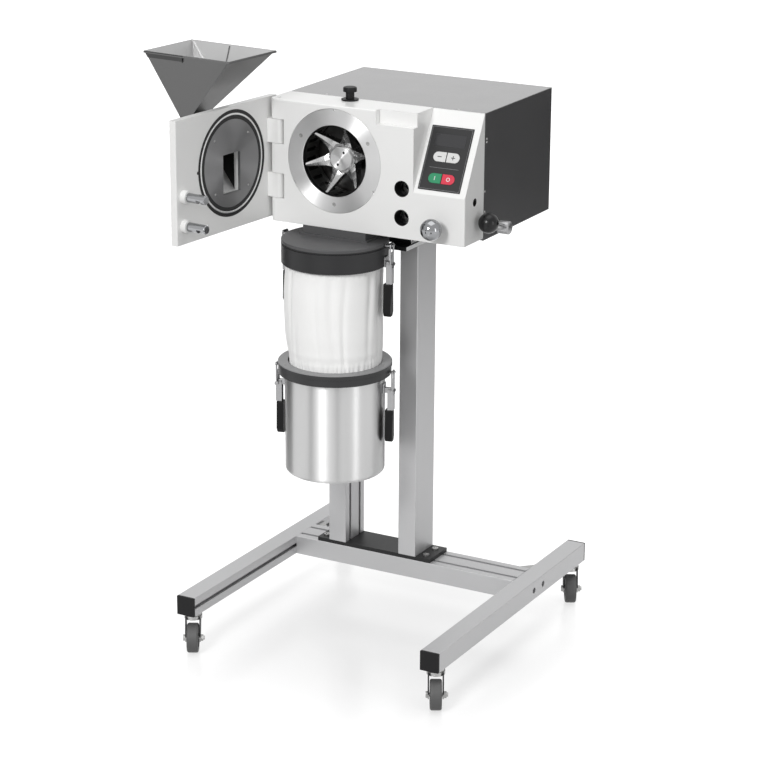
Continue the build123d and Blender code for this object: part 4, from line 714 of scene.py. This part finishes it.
@dataclass
class Door:
    """Open door with its dark disc, seals and bolts, and the chute and hopper outside it."""

    hinge: Pair = (-212.0, -168.0)
    open_angle: float = -95.4
    face: float = -185.5
    boss_end: float = -173.5
    disc_centre: Point = (-79.5, -185.5, 980.0)
    screw_circle: float = 74.0
    screw_radius: float = 2.2
    screw_height: float = 0.7
    bead: Pair = (94.1, 97.4)          # bright bead between the two seals
    bead_height: Pair = (0.3, 0.5)     # of its sides and of its top
    nub: float = 105.4                # tab of the outer seal, from the disc's centre
    nub_radius: float = 3.2
    hopper_x: Pair = (-153.0, -6.0)
    hopper_y: Pair = (-336.0, -133.0)
    rim: float = 1194.0
    throat: float = 1061.0
    throat_x: Pair = (-106.2, -52.8)
    throat_y: Pair = (-288.7, -266.3)
    collar: float = 3.0               # collar of the hopper, above the throat, painted dark as shade
    mouth: float = 22.0               # mouth of the chute, below the throat, painted dark as shade
    chute_line: tuple[float, ...] = (-277.5, 1060.0, -200.5, 961.0)   # y and z of its middle, at both ends
    chute_flange: float = 3.5         # the flange stands out this far from the door, and a little more
    sheet: float = 1.5
    seam: float = 0.46                # where the two halves meet, along the wall at the rim
    slant: float = 0.44               # by which the seam of the far wall runs on towards the throat
    flap: float = 0.63                # the same for the painted highlight strip along the folded corner

    def swing(self, point: Sequence[float], angle: float) -> Vector:
        """Turns a point about the hinge pin by an angle in degrees."""
        pin = Vector((*self.hinge, 0.0))
        return Matrix.Rotation(math.radians(angle), 4, "Z") @ (Vector(point) - pin) + pin

    def turned(self, point: Sequence[float]) -> Vector:
        """Takes a point on the shut door to where it lies with the door open."""
        return self.swing(point, self.open_angle)

    def shut(self, point: Vector) -> Vector:
        """Takes a point on the open door to where it lies with the door shut."""
        return self.swing(point, -self.open_angle)

    def on_disc(self, x: float, z: float, sunk: float) -> Vector:
        """Gives a point of the disc from its centre, sunk into the door's inner face."""
        return self.turned((self.disc_centre[0] + x, self.face - sunk, self.disc_centre[2] + z))

    def build(self) -> None:
        """Dresses the door and everything on it."""
        centre = tuple(self.turned(self.disc_centre))
        paint(door=DOOR_ENAMEL, door_seals=SEAL,
              door_disc=replace(DISC_STEEL, centre=centre, heading=90.0 + self.open_angle))
        recast("feed_chute", (DOOR_ENAMEL, SHADED_SHEET, LIT_SHEET, NYLON), self.chute_finish)
        recast("hopper", (SHEET_STEEL, LIT_SHEET, NYLON), self.hopper_finish)
        recast("lock_bolts", (DOOR_ENAMEL, CHROME_PIN),
               lambda spot, _: int(self.shut(spot).y > self.boss_end + 0.05), 40.0)
        self.add_disc_screws()
        self.add_bead()
        self.add_hopper_laps()

    def inward(self, spot: Vector, normal: Vector) -> bool:
        """Tells whether a face of the chute or hopper looks at the hopper's own middle line."""
        axis = self.turned((self.disc_centre[0], (self.throat_y[0] + self.throat_y[1]) / 2, 0.0))
        away = spot - axis
        return away.x * normal.x + away.y * normal.y < -1.0

    def hopper_finish(self, spot: Vector, normal: Vector) -> int:
        """Gives 0 outside the hopper, 1 inside its funnel, painted lighter as light, and 2 on the collar below
        it, painted dark as shade.
        """
        if spot.z < self.throat + self.collar:
            return 2
        return int(self.inward(spot, normal))

    def chute_finish(self, spot: Vector, normal: Vector) -> int:
        """Gives 0 on the chute's paint, 1 on its walls painted dark as shade, 2 on its floor painted lighter
        as light and 3 on its mouth painted dark as shade.
        """
        if spot.z > self.throat - self.mouth:
            return 3
        home = self.shut(spot)
        y0, z0, y1, z1 = self.chute_line
        if home.y > y1 - self.chute_flange:
            return 0
        run, rise = y1 - y0, z1 - z0
        share = ((home.y - y0) * run + (home.z - z0) * rise) / (run ** 2 + rise ** 2)
        axis = Vector((self.disc_centre[0], y0 + share * run, z0 + share * rise))
        if (axis - home).dot(self.shut(spot + normal) - home) < 1.0:
            return 0
        return 2 if normal.z > 0.25 else 1

    def add_disc_screws(self) -> None:
        """Adds the four small screws that hold the disc."""
        heads = bmesh.new()
        out = self.on_disc(0, 0, -1) - self.on_disc(0, 0, 0)
        for k in range(4):
            a = math.radians(45 + 90 * k)
            spot = self.on_disc(self.screw_circle * math.cos(a), self.screw_circle * math.sin(a), 0.4)
            screw(heads, spot, out, self.screw_radius, self.screw_height)
        piece_from("disc_screws", heads, ZINC, "lock_bolts")

    def add_bead(self) -> None:
        """Adds the bright turned bead between the seals, its pale colour a painted highlight, and the small
        tab on the outer seal.
        """
        out = self.on_disc(0, 0, -1) - self.on_disc(0, 0, 0)
        (low, high), (side, top) = self.bead, self.bead_height
        bead, tab = bmesh.new(), bmesh.new()
        turn_profile(bead, [(low, 0.0), (low, side), (low + side, top), (high - side, top), (high, side),
                            (high, 0.0)], aim(self.on_disc(0, 0, 0.2), out), 128, closed=True)
        piece_from("disc_bead", bead, HIGHLIGHT_SHEET, "hopper")
        screw(tab, self.on_disc(self.nub, 0, 0.2), out, self.nub_radius, top, socket=False)
        piece_from("seal_tab", tab, SEAL, "door_seals")

    def wall_point(self, side: int, along: float, height: float, inward: float) -> Vector:
        """Gives a point on one of the hopper's two seamed walls.

        Args:
            side: 0 for the wall at low x, 1 for the wall at high x.
            along: Share of the way along the wall, from the door's far side.
            height: Share of the way from the throat to the rim.
            inward: Millimetres into the hopper from the wall's outer face.

        Returns:
            The point, with the door open.
        """
        x, y_low, y_high, z = (low + (high - low) * height for low, high in (
            (self.throat_x[side], self.hopper_x[side]), (self.throat_y[0], self.hopper_y[0]),
            (self.throat_y[1], self.hopper_y[1]), (self.throat, self.rim)))
        return self.turned((x + inward * (1 - 2 * side), y_low + (y_high - y_low) * along, z))

    def add_strip(self, name: str, finish: Finish, side: int, line: Sequence[float], width: float,
                  inward: float, height: float) -> None:
        """Adds a thin strip of sheet that follows a straight line on one of the seamed walls.

        Args:
            name: Name of the piece.
            finish: Finish it gets.
            side: Wall, as in wall_point.
            line: Its two ends, each as share along the wall and share of the height, in one row.
            width: Its width as a share of the wall's length.
            inward: Millimetres into the hopper where its lower face lies.
            height: Its thickness in millimetres, inwards where above 0.
        """
        mesh = bmesh.new()
        a0, h0, a1, h1 = line
        corners = [self.wall_point(side, a, h, inward) for a, h in
                   ((a0, h0), (a0 + width, h0), (a1 + width, h1), (a1, h1))]
        lift = self.wall_point(side, 0, 0, inward + height) - self.wall_point(side, 0, 0, inward)
        ribbon(mesh, corners, lift)
        piece_from(name, mesh, finish, "hopper")

    def add_hopper_laps(self) -> None:
        """Adds the far wall's seam and a painted highlight strip along its folded corner, and the hem, painted
        darker as shade, with its notch painted dark as shade, on the near wall.
        """
        inner, foot, rim = self.sheet + 0.05, 0.3, 0.985
        run, notch = rim - foot, self.seam - 0.006
        for name, finish, side, line, width, inward, height in (
                ("hopper_seam", SHEET_STEEL, 0, (self.seam + self.slant * run, foot, self.seam, rim),
                 0.016, inner, 0.6),
                ("hopper_flap_edge", HIGHLIGHT_SHEET, 0, (self.flap * run, foot + 0.2, 0.01, rim),
                 0.022, inner, 0.9),
                ("hopper_hem", HEM_SHADE_SHEET, 1, (0.004, 0.905, 0.004, 0.998), self.seam - 0.008,
                 -self.sheet, -0.8),
                ("hopper_notch", SHADE_PAINTED_STEEL, 1, (notch, 0.89, notch, 0.998), 0.008, -self.sheet, -1.0)):
            self.add_strip(name, finish, side, line, width, inward, height)


@dataclass
class Controls:
    """Leaning control face: printed film, smoked window, keys and their signs."""

    knee: Pair = (-185.0, 938.5)     # y and z where the slope starts
    top: Pair = (-105.0, 1090.0)
    proud: float = 0.8                               # film above the casting
    key_proud: float = 1.8
    panel_x: Pair = (102.5, 192.5)
    panel_s: Pair = (9.5, 137.5)
    window_x: Pair = (114.5, 181.4)
    window_s: Pair = (97.0, 123.0)
    key_x: Pair = (133.4, 162.2)
    rows: Pair = (33.7, 76.6)
    border: float = 2.2
    line: float = 0.5
    rule: tuple[float, float, float] = (14.0, 54.6, 55.1)   # thin line: inset at its ends, and its two edges
    ink: float = 0.05                                # thickness of the print
    sign: float = 4.5                                # half the length of minus and plus
    stroke: float = 0.9                              # half the width of their bars

    def at(self, x: float, s: float, out: float) -> Vector:
        """Gives a point on the leaning face.

        Args:
            x: Place across.
            s: Distance up the slope from the knee.
            out: Height above the casting's face.

        Returns:
            The point.
        """
        run, rise = self.top[0] - self.knee[0], self.top[1] - self.knee[1]
        length = math.hypot(run, rise)
        return Vector((x, self.knee[0] + (run * s - rise * out) / length,
                       self.knee[1] + (rise * s + run * out) / length))

    def lift(self, height: float) -> Vector:
        """Gives the vector that stands out from the face by a height."""
        return self.at(0, 0, height) - self.at(0, 0, 0)

    def bar(self, mesh: BMesh, x: Pair, s: Pair, out: float) -> None:
        """Adds a printed bar with rounded ends to a mesh.

        Args:
            mesh: Mesh that gets the bar.
            x: Its limits across the face.
            s: Its limits up the slope.
            out: Height of its lower side above the casting's face.
        """
        (x0, x1), (s0, s1) = x, s
        across = x1 - x0 > s1 - s0
        radius = min(x1 - x0, s1 - s0) / 2
        spots = []
        for k in range(12):
            a = 2 * math.pi * (k + 0.5) / 12
            cx = (x1 - radius if math.cos(a) > 0 else x0 + radius) if across else (x0 + x1) / 2
            cs = (s0 + s1) / 2 if across else (s1 - radius if math.sin(a) > 0 else s0 + radius)
            spots.append(self.at(cx + radius * math.cos(a), cs + radius * math.sin(a), out))
        ribbon(mesh, spots, self.lift(self.ink))

    def ring(self, mesh: BMesh, spot: Pair, radii: Pair, out: float) -> None:
        """Adds a printed ring to a mesh.

        Args:
            mesh: Mesh that gets the ring.
            spot: Its centre, across and up the slope.
            radii: Outer and inner radius.
            out: Height of its lower side above the casting's face.
        """
        steps, (outer, inner) = 32, radii
        for k in range(steps):
            a, b = (2 * math.pi * n / steps for n in (k, k + 1))
            ribbon(mesh, [self.at(spot[0] + r * math.cos(t), spot[1] + r * math.sin(t), out)
                          for r, t in ((outer, a), (outer, b), (inner, b), (inner, a))], self.lift(self.ink))

    def build(self) -> None:
        """Dresses the panel and prints its lines and signs."""
        paint(membrane_panel=FILM, key_start=GREEN_KEY, key_stop=RED_KEY, key_minus=WHITE_KEY,
              key_plus=WHITE_KEY)
        self.add_lines()
        self.add_window()
        self.add_signs()

    def add_lines(self) -> None:
        """Prints the border and the thin line between the two rows of keys."""
        lines = bmesh.new()
        (x0, x1), (s0, s1) = self.panel_x, self.panel_s
        b, w, out = self.border, self.line, self.proud + 0.01
        inset, *rule = self.rule
        for x, s in (((x0 + b, x0 + b + w), (s0 + b, s1 - b)), ((x1 - b - w, x1 - b), (s0 + b, s1 - b)),
                     ((x0 + b, x1 - b), (s0 + b, s0 + b + w)), ((x0 + b, x1 - b), (s1 - b - w, s1 - b)),
                     ((x0 + inset, x1 - inset), tuple(rule))):
            self.bar(lines, x, s, out)
        piece_from("panel_lines", lines, LINE_INK, "membrane_panel")

    def add_window(self) -> None:
        """Sets the smoked window into its recess in the film."""
        pane = bmesh.new()
        (x0, x1), (s0, s1) = self.window_x, self.window_s
        gap, low = 0.3, self.proud - 0.35
        ribbon(pane, [self.at(x, s, low) for x, s in ((x0 + gap, s0 + gap), (x1 - gap, s0 + gap),
                                                      (x1 - gap, s1 - gap), (x0 + gap, s1 - gap))],
               self.lift(0.3))
        piece_from("display_window", pane, WINDOW, "membrane_panel")

    def add_signs(self) -> None:
        """Prints minus and plus on the white keys, and the on and off signs on the coloured ones."""
        out = self.key_proud + 0.01
        left, right = self.key_x
        low, high = self.rows
        wide, thin = self.sign, self.stroke
        for name, finish, key, bars in (
                ("sign_minus", DARK_INK, "key_minus", ((left, high, wide, thin),)),
                ("sign_plus", DARK_INK, "key_plus", ((right, high, wide, thin), (right, high, thin, wide))),
                ("sign_on", INK, "key_start", ((left, low, 0.7, 4.0),))):
            mesh = bmesh.new()
            for x, s, across, along in bars:
                self.bar(mesh, (x - across, x + across), (s - along, s + along), out)
            piece_from(name, mesh, finish, key)
        mesh = bmesh.new()
        self.ring(mesh, (right, low), (4.0, 2.7), out)
        piece_from("sign_off", mesh, INK, "key_stop")


@dataclass
class FilterSleeve:
    """Cloth tube between the two rings: broad soft folds, gathered pleats at its ends."""

    levels: tuple[Pair, ...] = ((563.0, 93.2), (577.0, 93.8), (590.0, 95.4), (610.0, 97.4),
                                               (650.0, 99.0), (720.0, 99.8), (760.0, 99.0), (778.0, 97.2),
                                               (789.5, 96.9))
    lean: Point = (-2.8, -1.5, 0.0)                  # by which the middle of the cloth sags to one side
    around: int = 720
    rows: int = 150
    folds: int = 17
    fold_depth: float = 3.2
    dent: tuple[float, ...] = (4.0, 3.62, 0.35, 590.0, 26.0)   # depth, then place and reach round and up
    flat: Pair = (0.612, 0.228)

    def radius(self, z: float) -> float:
        """Gives the sleeve's outer radius at a height, smoothly between its levels."""
        for (z0, r0), (z1, r1) in zip(self.levels, self.levels[1:]):
            if z <= z1:
                t = (z - z0) / (z1 - z0)
                return r0 + (r1 - r0) * t * t * (3 - 2 * t)
        return self.levels[-1][1]

    def depth(self, angle: float, z: float) -> float:
        """Gives how far the cloth lies inside that radius: creases that wander, fade and meet.

        Args:
            angle: Place round the sleeve, in radians.
            z: Height.

        Returns:
            Depth in millimetres.
        """
        low, high = self.levels[1][0], self.levels[-2][0]
        t = (z - low) / (high - low)
        body = max(0.0, min(1.0, t * 9)) * max(0.0, min(1.0, (1 - t) * 14))
        body = body * body * (3 - 2 * body)
        sunk = 0.0
        for k in range(self.folds):
            home = 2 * math.pi * (k + 0.32 * math.sin(2.4 * k + 0.7)) / self.folds
            drift = 0.07 * math.sin(1.7 * k) * (t - 0.5) + 0.02 * math.sin(5.0 * t + k)
            gap = (angle - home - drift + math.pi) % (2 * math.pi) - math.pi
            width = 0.055 + 0.03 * math.sin(3.1 * k + 1.0) + 0.03 * t
            life = 0.55 + 0.45 * math.sin(2.2 * k + 3.6 * t * math.sin(k * 1.9 + 0.4))
            sunk += self.fold_depth * life * math.exp(-(gap / width) ** 2)
        ripple = noise.noise(Vector((math.cos(angle) * 3.2, math.sin(angle) * 3.2, t * 1.6))) * 1.1
        pleats = 0.45 * math.sin(angle * 61 + 2.0 * math.sin(angle * 7)) + 0.35 * math.sin(angle * 37 + 1.0)
        top = math.exp(-((high - z) / 9.0) ** 2) * (1.6 + pleats) if z < high + 2 else 0.25 + 0.2 * pleats
        foot = math.exp(-((z - low) / 13.0) ** 2) * (1.3 + 1.9 * pleats)
        deep, place, reach, level, rise = self.dent
        dent = deep * math.exp(-((angle - place) / reach) ** 2) * math.exp(-((z - level) / rise) ** 2)
        return max(0.0, (sunk + 1.2 + ripple) * body + top + max(0.0, foot) * 0.8 + dent)

    def sag(self, z: float) -> float:
        """Gives the share of the lean at a height: none in the rings, all of it half way between them."""
        low, high = self.levels[1][0], self.levels[-2][0]
        return math.sin(math.pi * min(1.0, max(0.0, (z - low) / (high - low))) ** 1.4) ** 0.7

    def build(self) -> None:
        """Builds the cloth and hangs it between the rings in place of its CAD solid."""
        mesh = bmesh.new()
        bottom, top = self.levels[0][0], self.levels[-1][0]
        rings = []
        for j in range(self.rows + 1):
            z = bottom + (top - bottom) * j / self.rows
            middle = Vector((*COLLECTOR[:2], z)) + Vector(self.lean) * self.sag(z)
            ring = []
            for i in range(self.around):
                a = 2 * math.pi * i / self.around
                r = self.radius(z) - self.depth(a, z)
                ring.append(mesh.verts.new(middle + Vector((r * math.cos(a), r * math.sin(a), 0.0))))
            rings.append(ring)
        for low, high in zip(rings, rings[1:]):
            for i in range(self.around):
                n = (i + 1) % self.around
                mesh.faces.new([low[i], low[n], high[n], high[i]])
        piece = piece_from("sleeve_cloth", mesh, CLOTH, "filter_sleeve", 80.0)
        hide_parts("filter_sleeve")


@dataclass
class Collector:
    """Lid, rings and pot, with the toggle latches that hold them."""

    grip_top: float = 482.1
    rise: float = 263.0
    lid_seam: float = 820.2
    lid_radius: float = 106.0
    ring_top: float = 577.0
    ring_screws: Pair = (-131.3, 6.7)  # degrees from +X
    ring_screw_circle: float = 105.0
    strap: tuple[Pair, ...] = (         # right half of a strap's outline, from its bail's foot
        (6.4, 6.0), (6.4, 15.0), (4.6, 19.0), (4.6, 27.0), (6.4, 30.0))

    def build(self) -> None:
        """Dresses the collector and its latches."""
        paint(outlet_flange=LID_NYLON, sleeve_top_ring=RING_NYLON, collecting_pot=SPUN_STEEL,
              latch_mounts=WIRE_ZINC)
        # painted reflection: the lower ring's top faces get a lighter grey
        recast("sleeve_bottom_ring", (LOWER_RING, RING_TOP_HIGHLIGHT),
               lambda spot, normal: int(normal.z > 0.3 and spot.z > self.ring_top - 2.0))
        self.add_lid_seal()
        self.add_ring_screws()
        for node in frame["nodes"]:
            if node.startswith("latch_bail_"):
                paint(**{node: WIRE_ZINC})
                self.add_strap(node)
            if node.startswith("latch_lever_"):
                limit = self.grip_top + (self.rise if "upper" in node else 0.0)
                recast(node, (GRIP_RUBBER, WIRE_ZINC),
                       lambda spot, _, limit=limit: int(spot.z > limit), 40.0)
        FilterSleeve().build()

    def add_lid_seal(self) -> None:
        """Adds the black seal that shows as a line between the lid's flange and the upper ring."""
        mesh = bmesh.new()
        out, low, high = self.lid_radius + 0.25, self.lid_seam - 1.6, self.lid_seam + 1.2
        turn_profile(mesh, [(out - 3.0, low), (out - 0.4, low), (out, low + 0.5), (out, high - 0.5),
                            (out - 0.4, high), (out - 3.0, high)],
                     Matrix.Translation((*COLLECTOR[:2], 0.0)), 160, closed=True)
        piece_from("lid_seal", mesh, SEAL, "outlet_flange")

    def add_ring_screws(self) -> None:
        """Adds the two small screws in the top of the lower ring."""
        heads = bmesh.new()
        for angle in self.ring_screws:
            a = math.radians(angle)
            screw(heads, (COLLECTOR[0] + self.ring_screw_circle * math.cos(a),
                          COLLECTOR[1] + self.ring_screw_circle * math.sin(a), self.ring_top - 0.1),
                  (0, 0, 1), 2.4, 1.0)
        piece_from("ring_screws", heads, ZINC, "latch_mounts")

    def add_strap(self, node: str) -> None:
        """Adds the stamped strap that fills a latch's bail between its two wires, below the catch."""
        low, high = (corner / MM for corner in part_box(node))
        middle = (low + high) / 2
        out = Vector((middle.x - COLLECTOR[0], middle.y - COLLECTOR[1], 0.0)).normalized()
        along = Vector((-out.y, out.x, 0.0))
        foot = middle + Vector((0.0, 0.0, low.z - middle.z))
        outline = [*self.strap, *((-x, z) for x, z in reversed(self.strap))]
        mesh = bmesh.new()
        ribbon(mesh, [foot + along * x + Vector((0.0, 0.0, z)) for x, z in outline], out * 1.2)
        piece_from(node.replace("latch_bail", "latch_strap"), mesh, WIRE_ZINC, node)


@dataclass
class Softbox:
    """One soft studio lamp."""

    name: str
    place: Point                      # metres
    size: Pair         # metres
    power: float                      # watts
    target: Point = (0.0, -0.15, 0.75)

    def build(self) -> None:
        """Hangs the lamp and turns it to its target."""
        data = bpy.data.lights.new(self.name, "AREA")
        data.shape, data.size, data.size_y, data.energy = "RECTANGLE", *self.size, self.power
        look = Vector(self.target) - Vector(self.place)
        turn = look.to_track_quat("-Z", "Y").to_matrix().to_4x4()
        add_object(self.name, data).matrix_world = Matrix.Translation(self.place) @ turn


@dataclass
class Studio:
    """Pale floor, soft lamps, dark cards for the metal to show, and the camera of the photo."""

    camera: Point = (2.32305, -4.36665, 2.07635)
    yaw: float = 28.696
    pitch: float = 17.811
    roll: float = 0.349
    lens: float = 119.1
    lamps: tuple[Softbox, ...] = (
        Softbox("key_softbox", (-0.1, -4.8, 3.2), (1.1, 1.3), 136.0),
        Softbox("top_softbox", (0.2, -0.2, 3.6), (2.4, 2.4), 26.0),
        Softbox("right_softbox", (4.2, -1.1, 1.5), (0.7, 2.2), 20.0))
    cards: tuple[tuple[Point, Pair], ...] = (
        ((1.35, 2.1, 0.5), (2.4, 0.9)), ((-3.4, 0.4, 1.2), (2.2, 3.0)), ((-1.55, -3.5, 0.95), (0.7, 0.5)),
        ((-1.3, -0.05, 0.6), (0.75, 1.15)), ((-0.73, -1.64, 0.3), (0.32, 0.56)),
        ((0.84, -1.49, 0.28), (0.3, 0.5)))
    floor_half: float = 20.0          # metres
    pool: Point = (0.05, -0.22, 0.0)  # metres, middle of the painted shadow on the floor, where the floor's glow is dimmed

    def build(self) -> None:
        """Builds the world, the floor, lamps, cards and camera."""
        self.build_world()
        self.build_floor()
        for lamp in self.lamps:
            lamp.build()
        for k, (place, size) in enumerate(self.cards):
            self.build_card(f"dark_card_{k}", place, size)
        self.build_camera()

    def build_world(self) -> None:
        """Makes the world white where it is seen or mirrored, and a soft grey light elsewhere."""
        world = bpy.data.worlds.new("studio")
        bpy.context.scene.world = world
        tree = clear_tree(world)
        lit, bare = (add_node(tree, "Background", {"Color": (1, 1, 1, 1), "Strength": strength})
                     for strength in (0.5, 1.0))
        both = add_node(tree, "MixShader", None,
                        {0: self.seen_rays(tree), 1: lit.outputs[0], 2: bare.outputs[0]})
        add_node(tree, "OutputWorld", None, {"Surface": both.outputs[0]})

    @staticmethod
    def seen_rays(tree: Tree) -> Socket:
        """Gives 1 for camera, glossy and transmission rays and 0 for the rest."""
        path = add_node(tree, "LightPath").outputs
        mirrored = maths(tree, "MAXIMUM", path["Is Camera Ray"], path["Is Glossy Ray"])
        return maths(tree, "MAXIMUM", mirrored, path["Is Transmission Ray"])

    def build_floor(self) -> None:
        """Lays a pale floor that shows white and keeps the object's soft shadow; round the stand its glow is
        dimmed as a painted shadow.
        """
        mesh = bmesh.new()
        half = self.floor_half
        ribbon(mesh, [(x, y, -0.02) for x, y in ((-half, -half), (half, -half), (half, half), (-half, half))],
               Vector((0, 0, 0.0199)))
        floor = mesh_object("floor", mesh)
        material = bpy.data.materials.new("pale studio floor")
        tree = clear_tree(material)
        place = add_node(tree, "TexCoord").outputs["Object"]
        # painted shadow: the glow is weaker near the stand and full further out
        lift = add_node(tree, "MapRange", {"interpolation_type": "SMOOTHSTEP", "From Min": 0.1,
                                                     "From Max": 0.75, "To Min": 0.5, "To Max": 0.85},
                        {"Value": maths(tree, "DISTANCE", place, self.pool, vector=True)})
        strength = maths(tree, "MULTIPLY", lift.outputs["Result"], self.seen_rays(tree))
        matt = add_node(tree, "BsdfPrincipled",
                        {"Base Color": linear("#A8A8A8"), "Roughness": 0.2, "IOR": 1.45})
        glow = add_node(tree, "Emission", None, {"Strength": strength})
        both = add_node(tree, "AddShader", None, {0: matt.outputs[0], 1: glow.outputs[0]})
        add_node(tree, "OutputMaterial", None, {"Surface": both.outputs[0]})
        floor.data.materials.append(material)

    def build_card(self, name: str, place: Point, size: Pair) -> None:
        """Stands a dark card beside the object that only its reflections see."""
        mesh = bmesh.new()
        turn = (Vector((0, 0, place[2])) - Vector(place)).to_track_quat("Z", "Y").to_matrix().to_4x4()
        where = Matrix.Translation(place) @ turn
        w, h = size[0] / 2, size[1] / 2
        ribbon(mesh, [where @ Vector(p) for p in ((-w, -h, 0), (w, -h, 0), (w, h, 0), (-w, h, 0))],
               where.to_3x3() @ Vector((0, 0, -0.01)))
        card = mesh_object(name, mesh)
        if "dark studio card" not in bpy.data.materials:
            tree = clear_tree(bpy.data.materials.new("dark studio card"))
            matt = add_node(tree, "BsdfDiffuse", {"Color": linear("#303030")})
            add_node(tree, "OutputMaterial", None, {"Surface": matt.outputs[0]})
        card.data.materials.append(bpy.data.materials["dark studio card"])
        card.visible_camera = card.visible_diffuse = card.visible_shadow = False

    def build_camera(self) -> None:
        """Sets up the camera where the photo was taken from."""
        data = bpy.data.cameras.new("photo_camera")
        data.lens, data.sensor_width, data.clip_start, data.clip_end = self.lens, 36.0, 0.1, 60.0
        camera = add_object("photo_camera", data)
        yaw, pitch, roll = (math.radians(a) for a in (self.yaw, self.pitch, self.roll))
        look = Vector((-math.sin(yaw) * math.cos(pitch), math.cos(yaw) * math.cos(pitch), -math.sin(pitch)))
        right = Vector((math.cos(yaw), math.sin(yaw), 0.0))
        up = right.cross(look)
        x = right * math.cos(roll) + up * math.sin(roll)
        y = up * math.cos(roll) - right * math.sin(roll)
        turn = Matrix((x, y, -look)).transposed().to_4x4()
        camera.matrix_world = Matrix.Translation(self.camera) @ turn
        bpy.context.scene.camera = camera


def main() -> None:
    """Builds the studio and dresses each sub-assembly in turn."""
    logging.basicConfig(level=logging.INFO, format="%(name)s: %(message)s")
    bpy.context.scene.view_settings.view_transform = "Standard"
    for part in (Studio(), Stand(), Housing(), Chamber(), Door(), Lever(), Controls(), Collector()):
        LOG.info("building %s", type(part).__name__)
        part.build()


if __name__ == "__main__":
    main()
